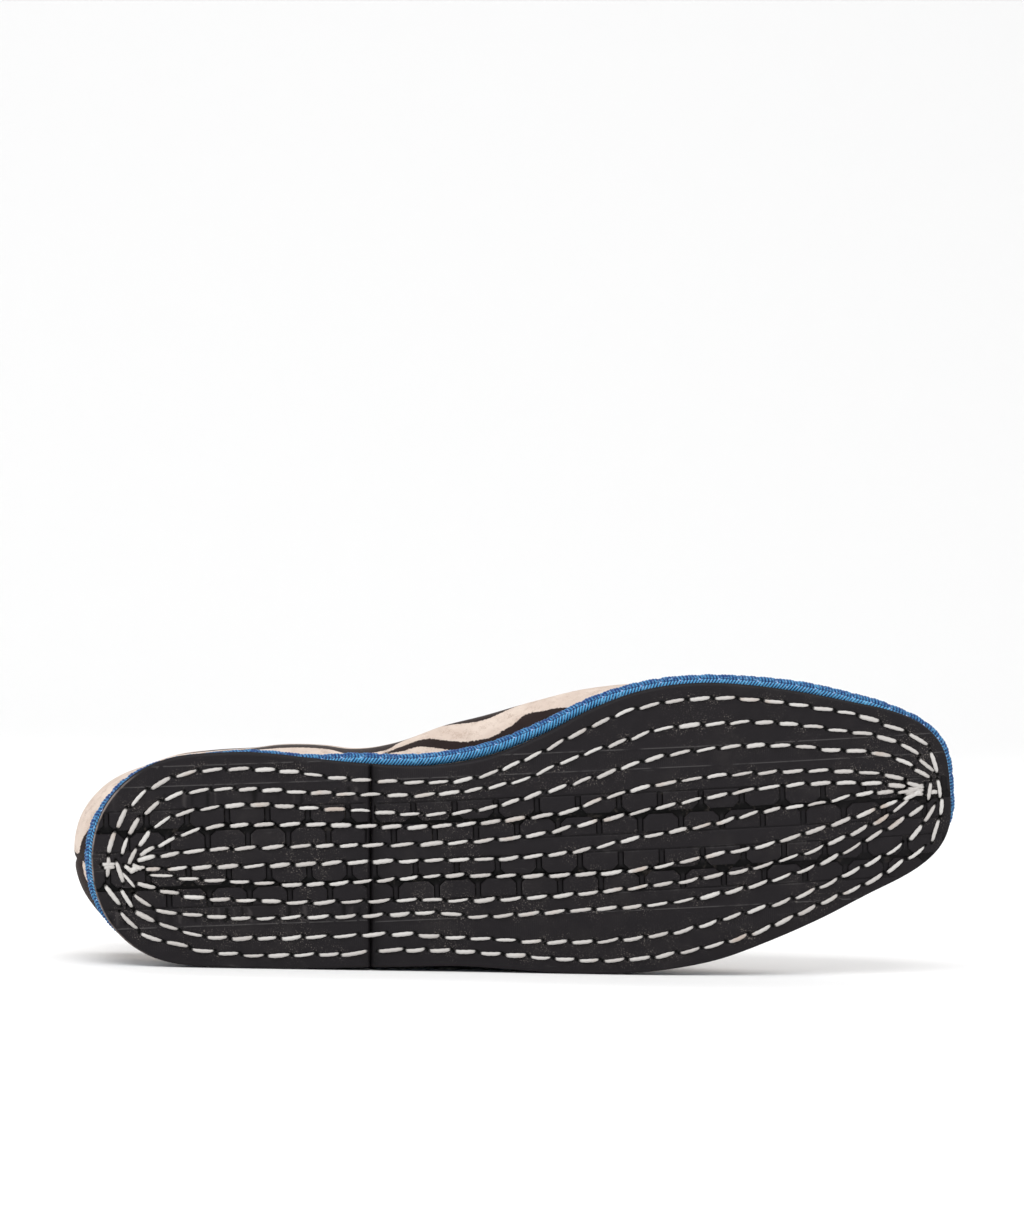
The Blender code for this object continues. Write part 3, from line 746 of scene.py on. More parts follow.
def relief(node, points):
    """Depth below the ground face in millimetres, and what the finish needs to know about each place."""
    u, v = tread_place(node, points)
    inside = land(node, u, v)
    worn = WORN_SHARE * soft_step(points[:, 0], WORN_FROM, WORN_TO)
    floor = np.maximum(gap_floor(node, u, v), worn)
    groove = np.where(inside < 0, TREAD_DEPTH + (GAP_DEPTH - TREAD_DEPTH) * floor,
                      WORN_DEPTH * (1 - soft_step(inside, 0, EDGE_WEAR)))
    faint = is_faint(v)
    groove = np.where(faint, groove.clip(None, FAINT_DEPTH), groove)
    inside = np.where(faint, inside.clip(FAINT_TONE), inside)
    ridge = sum(np.exp(-((v - at) / RIDGE_WIDTH) ** 2) for at in RIDGES_AT[node])
    has_slots = (np.abs(v) > SLOTS_FROM) & (np.abs(v) < SLOTS_TO) & (node == "outsole_heel")
    slot = noise_at(u, v, *SLOTS_PER_MM, SLOT_SLICE) * has_slots
    wave = noise_at(*points.T, WAVES_PER_MM, WAVES_PER_MM, WAVE_SLICE) * WAVE_HEIGHT
    hole, wax = near_stitches(points)
    # painted shade that darkens the rubber beside the joint
    joint_x = np.interp(points[:, 1], (JOINT_INNER[1], JOINT_OUTER[1]), (JOINT_INNER[0], JOINT_OUTER[0]))
    seam = np.exp(-((points[:, 0] - joint_x) / SEAM_SHADE) ** 2) * SEAM_SHADE_SHARE[node]
    depth = groove - ridge * RIDGE_HEIGHT + slot * SLOT_DEPTH + hole * HOLE_DEPTH + wave
    values = {"land": inside.clip(*LAND_LIMITS), "floor": floor, "ridge": ridge, "slot": slot, "hole": hole,
              "wax": wax, "seam": seam}
    return depth, values


print("grooves", TREAD_DEPTH, "mm deep, stitch holes", HOLE_DEPTH, "mm")

# %% [markdown]
# A maker cuts each piece of the sole out along one loop: the inner side, the end, the outer side and the
# joint. The same loop, moved in a little, bounds the ground face, and moved out again it gives the steps
# of the edge.

# %% Outline of a sole piece
RIM_STEP = 0.55
RUN_PER_LENGTH = 1.35


def piece_loop(node, inset, half_joint):
    """Outline of a piece of the sole, moved inwards: inner side, end, outer side and back along the joint."""
    inner, outer = sides(edge - edge_normal * inset)
    way = 1 if node == "outsole_front" else -1
    end = inner[0, 0] if way > 0 else inner[-1, 0]
    length = abs(edge[OUTLINE_SAMPLES - 1 if way > 0 else 0, 0] - JOINT_INNER[0])
    count = round(length * RUN_PER_LENGTH / RIM_STEP)
    first = cut_run(inner, JOINT_INNER[0] + way * half_joint, end, count)
    second = cut_run(outer, end, JOINT_OUTER[0] + way * half_joint, count)
    across = JOINT_OUTER[1] - JOINT_INNER[1]
    joint = np.linspace(second[-1], first[0], round(across / RIM_STEP))[1:-1]
    return np.concatenate([first, second[1:], joint])


def is_inside(points, loop):
    """Which places are inside a loop, by counting the edges to their right."""
    found = np.zeros(len(points), bool)
    for start, end in zip(loop, np.roll(loop, -1, axis=0)):
        crosses = (start[1] > points[:, 1]) != (end[1] > points[:, 1])
        if crosses.any():
            share = (points[crosses, 1] - start[1]) / (end[1] - start[1])
            found[crosses] ^= points[crosses, 0] < start[0] + share * (end[0] - start[0])
    return found


for node in TREAD:
    print(node, "loop of", len(piece_loop(node, 0, 0)), "points")

# %% [markdown]
# A triangulation rounds off a wall unless it has edges along it. So it gets lines along the foot, the top
# and the worn border of every raised face, and the walls of the grooves stand crisp and steep.

# %% Lines along the grooves
EDGE_LINES = (-0.05, 0.05, EDGE_WEAR)
LINE_STEP = 0.9


def on_ground(node, places):
    """Places given as u along the tread and v across it, as places on the ground."""
    x, y, turn = TREAD[node][:3]
    return turned_by(places, turn) + (x, y)


def raised_faces(node, low, high):
    """Corners of the rib, the plain sides and each block between two places, anticlockwise."""
    def strip(bottom, top):
        return np.array([(low, bottom), (high, bottom), (high, top), (low, top)])

    pitch = TREAD[node][4]
    faces = [strip(-RIB_HALF, RIB_HALF), strip(PLAIN_FROM, PLAIN_TO), strip(-PLAIN_TO, -PLAIN_FROM)]
    for number, (near, far) in enumerate(BLOCK_ROWS):
        square, cut = (near, far) if number == 0 else (far, near)
        back = cut - CORNER_ACROSS if number == 0 else cut + CORNER_ACROSS
        for side in (1, -1):
            gap = row_gap(node, number, side)
            start = np.arange(gap + math.floor((low - gap) / pitch) * pitch, high, pitch)
            for first in start + BLOCK_GAP / 2:
                last = first + pitch - BLOCK_GAP
                corners = np.array([(first, square), (last, square), (last, back), (last - CORNER_ALONG, cut),
                                    (first + CORNER_ALONG, cut), (first, back)]) * (1, side)
                faces.append(corners if (number == 0) == (side > 0) else corners[::-1])
    return faces


def moved_in(corners, distance):
    """An outline, counted anticlockwise, with each of its sides moved inwards."""
    ahead = np.roll(corners, -1, axis=0) - corners
    inward = np.column_stack([-ahead[:, 1], ahead[:, 0]]) / np.linalg.norm(ahead, axis=1, keepdims=True)
    before = np.roll(inward, 1, axis=0)
    return corners + distance * (before + inward) / (1 + (before * inward).sum(axis=1, keepdims=True))


def wall_lines(node, room):
    """Short mesh lines inside a loop, along the foot, the top and the worn border of every raised face."""
    u, _ = tread_place(node, room)
    starts, ends = [], []
    for corners in raised_faces(node, u.min(), u.max()):
        for inset in EDGE_LINES:
            loop = moved_in(corners, inset)
            for start, end in zip(loop, np.roll(loop, -1, axis=0)):
                places = np.linspace(start, end, math.ceil(np.linalg.norm(end - start) / LINE_STEP) + 1)
                starts.append(places[:-1])
                ends.append(places[1:])
    starts = on_ground(node, np.concatenate(starts))
    ends = on_ground(node, np.concatenate(ends))
    kept = is_inside(starts, room) & is_inside(ends, room)
    return starts[kept], ends[kept]


print("lines", EDGE_LINES, "mm inside every raised face")

# %% [markdown]
# Loose points fill in between the lines: a grid on the flats, rows along the groove floors and the
# ridges, and small oval rings round the stitch holes.

# %% Points between the lines
GROUND_STEP = 1.2
ROWS_IN_GAP, GAP_STEPS = (-0.5, 0.0, 0.5), 8
HOLE_RING, HOLE_RINGS = 8, (0.6, 1.3, 2.2)


def crossed(along, across):
    """Every pair of two lists of places."""
    return np.stack(np.meshgrid(along, across), axis=-1).reshape(-1, 2)


def loose_points(node, room):
    """Mesh points inside a loop: on the flats, along groove floors and ridges, and round the stitch holes."""
    u, v = tread_place(node, room)
    along = np.arange(u.min(), u.max(), GROUND_STEP)
    flat = crossed(along, np.arange(v.min(), v.max(), GROUND_STEP))
    flat = flat[land(node, *flat.T) > EDGE_WEAR + GROUND_STEP / 4]
    floors = [(RIB_HALF + BLOCK_ROWS[0][0]) / 2, (BLOCK_ROWS[0][1] + BLOCK_ROWS[1][0]) / 2,
              (BLOCK_ROWS[1][1] + PLAIN_FROM) / 2]
    ridges = [at + offset for at in RIDGES_AT[node] for offset in (-RIDGE_WIDTH, 0, RIDGE_WIDTH)]
    rows = crossed(along, np.concatenate([floors, np.negative(floors), ridges]))
    gaps = []
    pitch = TREAD[node][4]
    for number, (near, far) in enumerate(BLOCK_ROWS):
        for side in (1, -1):
            first = row_gap(node, number, side)
            at = np.arange(first + math.ceil((u.min() - first) / pitch) * pitch, u.max(), pitch)
            at = (at[:, None] + np.array(ROWS_IN_GAP) * BLOCK_GAP / 2).reshape(-1)
            gaps.append(crossed(at, side * np.linspace(near, far, GAP_STEPS)))
    turn = np.linspace(0, 2 * math.pi, HOLE_RING, endpoint=False)
    oval = np.column_stack([np.cos(turn) * HOLE_LENGTH, np.sin(turn) * HOLE_WIDTH])
    oval = np.concatenate([[(0, 0)]] + [oval * share for share in HOLE_RINGS])
    axes = np.stack([stitch_along, stitch_aside], axis=1)
    rings = (stitches[:, :, None] + (oval @ axes)[:, None]).reshape(-1, 2)
    points = np.concatenate([on_ground(node, np.concatenate([flat, rows, *gaps])), rings])
    return points[is_inside(points, room)]


print("ground points", GROUND_STEP, "mm apart, and", HOLE_RING * len(HOLE_RINGS) + 1, "round each hole")

# %% [markdown]
# The outline closes the ground face, and from there the loop goes up round the edge of the sole in a few
# steps to its top. At the joint the steps leave a V between the two pieces, which nearly meet in the
# depth.

# %% Sole piece
RIM_INSET, RIM_JOINT = 0.9, 1.5
RIM_PALE_TO = (17.0, 7.0)
# Inset from the outline, height above the ground face, and half the width of the joint
EDGE_PROFILE = (
    (0.6, 0.0, 1.2), (0.3, 0.1, 0.95), (0.08, 0.35, 0.75), (0.0, 0.8, 0.55),
    (0.0, 2.2, 0.06), (0.0, 3.7, 0.06), (0.1, 4.15, 0.06), (0.6, 4.5, 0.06),
)
RELIEF_UP_TO = 0.6
INSIDE_ONLY, MERGE_WITHIN = 1, 1e-5
SHARP_ANGLE = math.radians(50)


def ground_face(node):
    """The flat ground face: its places, its triangles and the numbers of the points on its rim."""
    rim = piece_loop(node, RIM_INSET, RIM_JOINT)
    room = piece_loop(node, RIM_INSET + RIM_STEP / 2, RIM_JOINT + RIM_STEP / 2)
    starts, ends = wall_lines(node, room)
    places = [Vector(place) for place in np.concatenate([rim, starts, ends, loose_points(node, room)])]
    lines = [(len(rim) + i, len(rim) + len(starts) + i) for i in range(len(starts))]
    found = delaunay_2d_cdt(places, lines, [list(range(len(rim)))], INSIDE_ONLY, MERGE_WITHIN)
    number_of = {old: new for new, olds in enumerate(found[3]) for old in olds}
    flat = np.array([tuple(place) for place in found[0]])
    return flat, [list(face) for face in found[2]], [number_of[i] for i in range(len(rim))]


def sole_piece(node, finish):
    """Ground face, edge and top of one piece of the sole."""
    flat, faces, ring = ground_face(node)
    depth, values = relief(node, flat)
    points = [np.column_stack([flat, rise(flat[:, 0]) + depth])]
    values = {label: [numbers] for label, numbers in values.items()}
    values["side"] = [np.zeros(len(flat))]
    values["rim"] = [np.zeros(len(flat))]
    first = len(flat)
    for inset, height, half_joint in EDGE_PROFILE:
        loop = piece_loop(node, inset, half_joint)
        depth, found_values = relief(node, loop)
        fade = max(0.0, 1 - height / RELIEF_UP_TO)
        points.append(np.column_stack([loop, rise(loop[:, 0]) + height + depth * fade]))
        found_values["land"] = found_values["land"] * fade + 1 - fade
        for label, numbers in found_values.items():
            values[label].append(numbers if label == "land" else numbers * fade)
        values["side"].append(np.full(len(loop), 1 - fade))
        values["rim"].append(4 * fade * (1 - fade) * soft_step(loop[:, 0], *RIM_PALE_TO))
        new_ring = list(range(first, first + len(loop)))
        faces += [[ring[i - 1], ring[i], new_ring[i], new_ring[i - 1]] for i in range(len(loop))]
        ring = new_ring
        first += len(loop)
    faces.append(ring)
    points = np.concatenate(points)
    values = {label: np.concatenate(parts) for label, parts in values.items()}
    values["along"], values["across"] = tread_place(node, points[:, :2])
    made = add_piece(node + "_rubber", points, faces, [finish], values)
    made.data.set_sharp_from_angle(angle=SHARP_ANGLE)
    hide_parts(node)
    return made


print("edge of the sole in", len(EDGE_PROFILE), "steps")

# %% [markdown]
# Tyre rubber is nearly black, with a slight sheen on its worn faces. The grooves get painted shade: black at
# their walls and a little greyer on their floors, which draws each of them as two thin lines, and the stitch
# holes and slots are painted black as well. Painted shade darkens the rubber beside the joint, and a painted
# highlight runs broken along the fine ridges. The edges of the blocks are rubbed paler in places, wax and
# dust from sewing lie in specks round the stitches, and fine moulded ticks stand in a strip along each side.
# Colours are mixed one over the other, from the plain rubber to what lies on top of it.

# %% Rubber finish
TICK_PITCH = 0.65
TICKS_FROM, TICKS_TO, TICKS_FADE = 22.6, 28.7, 0.3
RUBBER_DARK, RUBBER_PALE = (0.0090, 0.0078, 0.0091, 1), (0.0160, 0.0140, 0.0158, 1)
DUST_TONE, TICK_TONE = (0.035, 0.031, 0.030, 1), (0.03, 0.028, 0.03, 1)
SCRATCH_TONE, RUBBED_TONE = (0.05, 0.047, 0.048, 1), (0.04, 0.037, 0.038, 1)
# The ridge tone is a painted highlight; the wax tone is real wax
RIDGE_HIGHLIGHT_TONE, WAX_TONE = (0.050, 0.047, 0.048, 1), (0.26, 0.23, 0.205, 1)
# Painted shade: beside the joint, and near black on groove walls, in stitch holes and in slots
SEAM_SHADE_TONE, RECESS_SHADE_TONE = (0.003, 0.0028, 0.003, 1), (0.0012, 0.0011, 0.0012, 1)
DIRT_TONE, FLOOR_TONE = (0.055, 0.046, 0.040, 1), (0.0092, 0.0081, 0.0092, 1)
STREAK_TONE, RIM_TONE = (0.034, 0.030, 0.031, 1), (0.27, 0.225, 0.205, 1)


def tick_height(tree):
    """Fine ticks across a strip along each side, from -1 to 1."""
    wave = calc(tree, "SINE", times(tree, own(tree, "along"), 2 * math.pi / TICK_PITCH))
    out = calc(tree, "ABSOLUTE", own(tree, "across"))
    past_first = mask(tree, out, TICKS_FROM - TICKS_FADE, TICKS_FROM + TICKS_FADE)
    before_last = mask(tree, out, TICKS_TO + TICKS_FADE, TICKS_TO - TICKS_FADE)
    return times(tree, wave, times(tree, past_first, before_last))


def wax_share(tree, place):
    """Specks and crumbs of wax, thicker near the stitches and missing in places."""
    specks = mask(tree, clouds(tree, place, 2400.0, 2.0, 0.6), 0.58, 0.7)
    crumbs = mask(tree, clouds(tree, place, 760.0, 4.0, 0.75), 0.6, 0.7)
    specks = calc(tree, "MAXIMUM", specks, times(tree, crumbs, 0.4))
    specks = times(tree, specks, mask(tree, clouds(tree, place, 70.0, 2.0), 0.42, 0.62))
    return times(tree, specks, times(tree, own(tree, "wax"), 0.8))


def rubber_finish():
    material, tree, shader = new_finish("tyre_rubber", Specular_IOR_Level=0.1)
    place = object_place(tree)
    worn = effect(tree, "dust_and_scuffs", Place=place, Patch_Scale=55.0, Scratch_Scale=700.0)
    grain = effect(tree, "fine_fibres", Place=place, Scale=2600.0)
    inside = own(tree, "land")
    ticks = tick_height(tree)
    base = between(tree, grain["Shade"], RUBBER_DARK, RUBBER_PALE)
    dusty = between(tree, times(tree, worn["Dust"], 0.3), base, DUST_TONE)
    in_places = mask(tree, clouds(tree, place, 90.0, 2.0), 0.45, 0.65)
    ticks_shown = times(tree, times(tree, mask(tree, ticks, 0.2, 0.9), 0.22), in_places)
    ticked = between(tree, ticks_shown, dusty, TICK_TONE)
    scratched = between(tree, times(tree, worn["Scratch"], 0.4), ticked, SCRATCH_TONE)
    rubbed = times(tree, mask(tree, inside, 0.5, 0.1), mask(tree, worn["Dust"], 0.05, 0.5))
    edged = between(tree, times(tree, rubbed, 0.6), scratched, RUBBED_TONE)
    # painted highlight: a pale broken line along the fine ridges
    ridge_highlight_kept = mask(tree, clouds(tree, place, 160.0, 3.0), 0.3, 0.55)
    line = times(tree, mask(tree, own(tree, "ridge"), 0.4, 0.95), ridge_highlight_kept)
    waxed = between(tree, wax_share(tree, place), between(tree, line, edged, RIDGE_HIGHLIGHT_TONE), WAX_TONE)
    # painted shade beside the joint
    shaded = between(tree, times(tree, own(tree, "seam"), 0.75), waxed, SEAM_SHADE_TONE)
    dirt = times(tree, mask(tree, clouds(tree, place, 420.0, 3.0, 0.6), 0.56, 0.7), 0.5)
    # painted shade: groove walls near black, groove floors greyer, with real dirt mixed in
    in_groove = between(tree, own(tree, "floor"), between(tree, dirt, RECESS_SHADE_TONE, DIRT_TONE), FLOOR_TONE)
    grooved = between(tree, mask(tree, inside, 0.04, -0.04), shaded, in_groove)
    streaked = between(tree, mask(tree, own(tree, "slot"), -0.12, -0.6), grooved, STREAK_TONE)
    slots = times(tree, mask(tree, own(tree, "slot"), 0.1, 0.5), 0.8)
    pits = calc(tree, "MAXIMUM", mask(tree, own(tree, "hole"), 0.2, 0.6), slots)
    # painted shade: stitch holes and slots near black
    pitted = between(tree, pits, streaked, RECESS_SHADE_TONE)
    rim = times(tree, own(tree, "rim"), mask(tree, clouds(tree, place, 300.0), 0.2, 0.6))
    dull = calc(tree, "MULTIPLY_ADD", grain["Shade"], 0.25, 0.42)
    height = calc(tree, "MULTIPLY_ADD", ticks, 0.5, grain["Height"])
    join(tree, shader, Base_Color=between(tree, rim, pitted, RIM_TONE),
         Roughness=calc(tree, "MAXIMUM", dull, own(tree, "side")),
         Normal=bumped(tree, height, 0.00006, 0.6))
    return material


rubber = rubber_finish()
for node in TREAD:
    sole_piece(node, rubber)

# %% [markdown]
# ## Waxed stitches
#
# Each stitch is a short length of three-ply thread. It comes up out of one hole, lies plump on the rubber
# and dives into the next, a little aslant to its row. Pulled tight by hand, each bows away from the
# middle of the sole and tapers in its own way. All are worked out together as rings of points round a
# bowed line, in one mesh.

# %% Stitch mesh
THREAD_RADIUS = 0.56
THICKNESS_SPREAD, THICKNESS_LIMITS = 0.11, (0.75, 1.3)
THICKER_AT_ENDS, THICK_BEHIND, THICK_AHEAD = 0.12, (32.0, 12.0), (225.0, 248.0)
THREAD_SIDES = 12
THREAD_RINGS, RING_CROWDING = 17, 1.4
THREAD_PLIES = 3
PLY_GROOVE = 0.08
TWIST_PER_MM = 1.1
THREAD_RISE, THREAD_SINK, DIVE_SHARPNESS = 0.36, 0.75, 5
TAPER_AT_START, TAPER_AT_END, TAPER_SHARPNESS = (0.3, 0.65), (0.5, 0.85), (2.2, 4.0)
STITCH_BOW, BOW_SPREAD, BOW_TURNS_AT, BOW_REACH = 0.13, 0.1, 6.0, 8.0


def stitch_rings():
    """Rings of points round every stitch, and how far each ring lies above the rubber."""
    count = len(stitches)
    middle = stitches.mean(axis=1)
    at_ends = soft_step(middle[:, 0], *THICK_BEHIND) + soft_step(middle[:, 0], *THICK_AHEAD)
    thickness = THREAD_RADIUS * chance.normal(1, THICKNESS_SPREAD, count).clip(*THICKNESS_LIMITS)
    thickness *= 1 + THICKER_AT_ENDS * at_ends
    step = np.linspace(-1, 1, THREAD_RINGS)
    step = np.sign(step) * (1 - (1 - np.abs(step)) ** RING_CROWDING)
    turn = np.linspace(0, 2 * math.pi, THREAD_SIDES, endpoint=False)
    reach = step[None, :] * stitch_length[:, None] / 2
    lift = (THREAD_RISE + THREAD_SINK) * (1 - np.abs(step) ** DIVE_SHARPNESS) - THREAD_SINK
    bow = STITCH_BOW * np.tanh((middle[:, 1] - BOW_TURNS_AT) / BOW_REACH)
    bend = (1 - step ** 2) * chance.normal(bow, BOW_SPREAD)[:, None]
    start_taper = chance.uniform(*TAPER_AT_START, (count, 1))
    end_taper = chance.uniform(*TAPER_AT_END, (count, 1))
    sharpness = chance.uniform(*TAPER_SHARPNESS, (count, 1))
    plump = 1 - np.where(step < 0, start_taper, end_taper) * np.abs(step) ** sharpness
    first_ply = chance.uniform(0, 6, count)[:, None, None]
    plies = 1 + PLY_GROOVE * np.cos(THREAD_PLIES * (turn - TWIST_PER_MM * reach[:, :, None] + first_ply))
    radius = thickness[:, None, None] * plump[:, :, None] * plies
    line = middle[:, None] + reach[..., None] * stitch_along[:, None]
    line = line + bend[..., None] * stitch_aside[:, None]
    plan = line[:, :, None] + (radius * np.cos(turn))[..., None] * stitch_aside[:, None, None]
    height = rise(plan[..., 0]) - lift[None, :, None] - radius * np.sin(turn)
    return np.concatenate([plan, height[..., None]], axis=-1), lift


def stitch_faces(count):
    """Quads between the rings of every stitch, and a cap at each end."""
    ring = np.arange(THREAD_SIDES)
    beside = np.roll(ring, -1)
    strip = np.arange(THREAD_RINGS - 1)[:, None] * THREAD_SIDES
    ahead = strip + THREAD_SIDES
    quads = np.stack([strip + ring, strip + beside, ahead + beside, ahead + ring], axis=-1).reshape(-1, 4)
    per_stitch = THREAD_RINGS * THREAD_SIDES
    faces = (np.arange(count)[:, None, None] * per_stitch + quads).reshape(-1, 4).tolist()
    for first in range(0, count * per_stitch, per_stitch):
        faces.append(list(range(first, first + THREAD_SIDES)))
        faces.append(list(range(first + per_stitch - THREAD_SIDES, first + per_stitch)))
    return faces


def stitch_mesh(finish):
    """Every stitch as a bowed twist of thread, in one mesh."""
    points, lift = stitch_rings()
    each = points.shape[:3]
    tone = np.broadcast_to(chance.uniform(0, 1, len(stitches))[:, None, None], each)
    values = {"lift": np.broadcast_to(lift[None, :, None], each), "tone": tone}
    made = add_piece("sole_stitches", points.reshape(-1, 3), stitch_faces(len(stitches)), [finish], values)
    return made


# %% [markdown]
# Waxed thread is off-white and never quite clean. Each stitch has its own tone, a few are stained by the
# wax, and painted shade makes all of them darker where they go into the rubber.

# %% Thread finish
THREAD_GREY, THREAD_WHITE = (0.47, 0.445, 0.425, 1), (0.60, 0.585, 0.565, 1)
THREAD_STAIN, THREAD_SHADE = (0.45, 0.38, 0.33, 1), (0.26, 0.24, 0.23, 1)
THREAD_HOLE_SHADE = (0.03, 0.027, 0.026, 1)


def thread_finish():
    material, tree, shader = new_finish("waxed_thread", Specular_IOR_Level=0.3, Sheen_Weight=0.08)
    place = object_place(tree)
    fibres = effect(tree, "fine_fibres", Place=place, Scale=5200.0)
    clean = between(tree, own(tree, "tone"), THREAD_GREY, THREAD_WHITE)
    stained = between(tree, mask(tree, clouds(tree, place, 90.0), 0.58, 0.75), clean, THREAD_STAIN)
    shaded = between(tree, times(tree, fibres["Shade"], 0.35), stained, THREAD_SHADE)
    # painted shade where the thread goes down into its hole
    buried_shade = mask(tree, own(tree, "lift"), 0.05, -0.45)
    join(tree, shader, Base_Color=between(tree, buried_shade, shaded, THREAD_HOLE_SHADE),
         Roughness=calc(tree, "MULTIPLY_ADD", fibres["Shade"], 0.2, 0.5),
         Normal=bumped(tree, fibres["Height"], 0.00008, 0.5))
    return material


stitch_mesh(thread_finish())

# %% [markdown]
# ## Braided piping
#
# The seam between sole and velvet is hidden by a braid of two round lobes. From the groove between them
# the ribs slant back over both lobes, like chevrons. The lobe by the velvet is knobbly, and it puckers at
# the small stitches that hold it. The ribs are real relief: the mesh lines are sheared along the braid,
# so that each rib follows one of them.

# %% Piping mesh
RIB_PITCH = 1.0
SAMPLES_PER_RIB = 5
PIPING_SIDES = 26
RIB_HEIGHT = 0.15
RIB_SLANT = 1.3
KNOB_HEIGHT, KNOB_LENGTH = 0.15, 1.7
YARN_SWELL = 0.2
LOBE_GROOVE, LOBE_GROOVE_WIDTH = 0.22, 0.3
PUCKER_PITCH, PUCKER_DEPTH, PUCKER_SHARPNESS = 6.0, 0.22, 6
# Share of the knobs and puckers that the lobe by the sole has
KNOB_SHARE, PUCKER_SHARE = 0.4, 0.35


def piping_section(turn):
    """Reach of the two-lobed section at an angle from the line through both lobes."""
    half = LOBE_SPACING / 2
    return half * np.abs(np.cos(turn)) + np.sqrt(LOBE_RADIUS ** 2 - (half * np.sin(turn)) ** 2)


def along_loop(places, reached, values):
    """Two columns of numbers at places along a loop."""
    return np.column_stack([np.interp(places, reached, column) for column in values.T])


def piping_mesh(finish):
    lean = np.array([math.cos(LOBE_LEAN), math.sin(LOBE_LEAN)]) * LOBE_SPACING / 2
    loop = foot + edge_normal * (CLEARANCE + LOBE_RADIUS + lean[0])
    closed = np.concatenate([loop, loop[:1]])
    normals = np.concatenate([edge_normal, edge_normal[:1]])
    reached = travelled(closed)
    ribs = round(reached[-1] / RIB_PITCH)
    steps = np.arange(ribs * SAMPLES_PER_RIB) * reached[-1] / (ribs * SAMPLES_PER_RIB)
    rib = np.cos(2 * math.pi * steps * ribs / reached[-1])
    turn = np.linspace(0, 2 * math.pi, PIPING_SIDES, endpoint=False)
    columns = []
    distances = []
    for angle in turn:
        by_velvet = math.cos(angle) > 0
        shear = -RIB_SLANT * LOBE_RADIUS * (1 + math.sin(angle))
        groove = LOBE_GROOVE * math.exp(-(math.cos(angle) / LOBE_GROOVE_WIDTH) ** 2)
        at = (steps + shear) % reached[-1]
        middle = along_loop(at, reached, closed)
        outward = along_loop(at, reached, normals)
        pucker = (0.5 + 0.5 * np.cos(2 * math.pi * at / PUCKER_PITCH)) ** PUCKER_SHARPNESS
        pucker *= PUCKER_DEPTH * (1.0 if by_velvet else PUCKER_SHARE)
        knob = np.array([noise.noise((x / KNOB_LENGTH, y / KNOB_LENGTH, angle)) for x, y in middle])
        knob *= KNOB_HEIGHT * (1.0 if by_velvet else KNOB_SHARE)
        reach = piping_section(angle) + YARN_SWELL - groove + RIB_HEIGHT * (rib - 1) + knob - pucker
        plan = middle + outward * (reach * math.cos(angle + LOBE_LEAN))[:, None]
        up = CLEARANCE + LOBE_RADIUS + lean[1] + reach * math.sin(angle + LOBE_LEAN)
        columns.append(np.column_stack([plan, rise(middle[:, 0]) + SOLE_THICKNESS + up]))
        distances.append(at)
    points = np.stack(columns, axis=1)
    first = np.arange(len(steps)) * PIPING_SIDES
    last = first + PIPING_SIDES - 1
    closing = np.stack([last, np.roll(last, -1), np.roll(first, -1), first], axis=-1)
    faces = np.concatenate([grid_faces(len(steps), PIPING_SIDES, closed=True), closing])
    values = {
        "rib": np.repeat(rib, PIPING_SIDES),
        "lobe": np.tile(np.cos(turn), len(steps)),
        "speck": np.stack(distances, axis=1) % PUCKER_PITCH,
    }
    made = add_piece("piping_braid", points.reshape(-1, 3), faces.tolist(), [finish], values)
    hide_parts("piping")
    return made


# %% [markdown]
# The yarn is bright blue on the ribs, and painted shade makes it deep blue between them. The lobe by the
# velvet is darker, the groove is in shadow, and pale flecks and the small holding stitches catch the light.

# %% Braid finish
BRAID_RIB_SHADE, BRAID_BRIGHT = (0.002, 0.014, 0.07, 1), (0.06, 0.30, 0.57, 1)
BRAID_LIT, BRAID_NAVY = (0.13, 0.43, 0.68, 1), (0.004, 0.031, 0.15, 1)
BRAID_FLECK, BRAID_SHADOW = (0.26, 0.46, 0.70, 1), (0.003, 0.016, 0.09, 1)
BRAID_STITCH = (0.42, 0.55, 0.85, 1)


def piping_finish():
    material, tree, shader = new_finish("blue_braid", Specular_IOR_Level=0.25, Sheen_Weight=0.06)
    place = object_place(tree)
    fibres = effect(tree, "fine_fibres", Place=place, Scale=4200.0)
    # painted shade deep blue between the ribs, the yarn's own blue on them
    ribbed = between(tree, mask(tree, own(tree, "rib"), -0.5, 0.75), BRAID_RIB_SHADE, BRAID_BRIGHT)
    lit = between(tree, mask(tree, fibres["Shade"], 0.5, 0.68), ribbed, BRAID_LIT)
    by_velvet = mask(tree, own(tree, "lobe"), 0.1, 0.5)
    loose = mask(tree, clouds(tree, place, 520.0, 3.0), 0.4, 0.62)
    deep = times(tree, by_velvet, calc(tree, "MULTIPLY_ADD", loose, 0.6, 0.35))
    knotted = between(tree, deep, lit, BRAID_NAVY)
    flecks = times(tree, mask(tree, clouds(tree, place, 1300.0, 2.0, 0.6), 0.56, 0.7), 0.5)
    flecked = between(tree, flecks, knotted, BRAID_FLECK)
    in_groove = mask(tree, calc(tree, "ABSOLUTE", own(tree, "lobe")), 0.32, 0.1)
    shadowed = between(tree, times(tree, in_groove, 0.8), flecked, BRAID_SHADOW)
    speck = times(tree, in_groove, mask(tree, own(tree, "speck"), 0.9, 0.5))
    join(tree, shader, Base_Color=between(tree, speck, shadowed, BRAID_STITCH),
         Roughness=calc(tree, "MULTIPLY_ADD", fibres["Shade"], 0.25, 0.5),
         Normal=bumped(tree, fibres["Height"], 0.00008, 0.5))
    return material


piping_mesh(piping_finish())

# %% [markdown]
# ## Velvet upper
#
# The upper's wall rises from the piping, swells to its fullest line and curves in to the collar, or over
# the foot to the ridge of the vamp. It could be sculpted, but the last gives its curve, so the wall is
# worked out in columns that stand round the shoe. They are sampled closely, because the soft marks of
# sewing come on them.

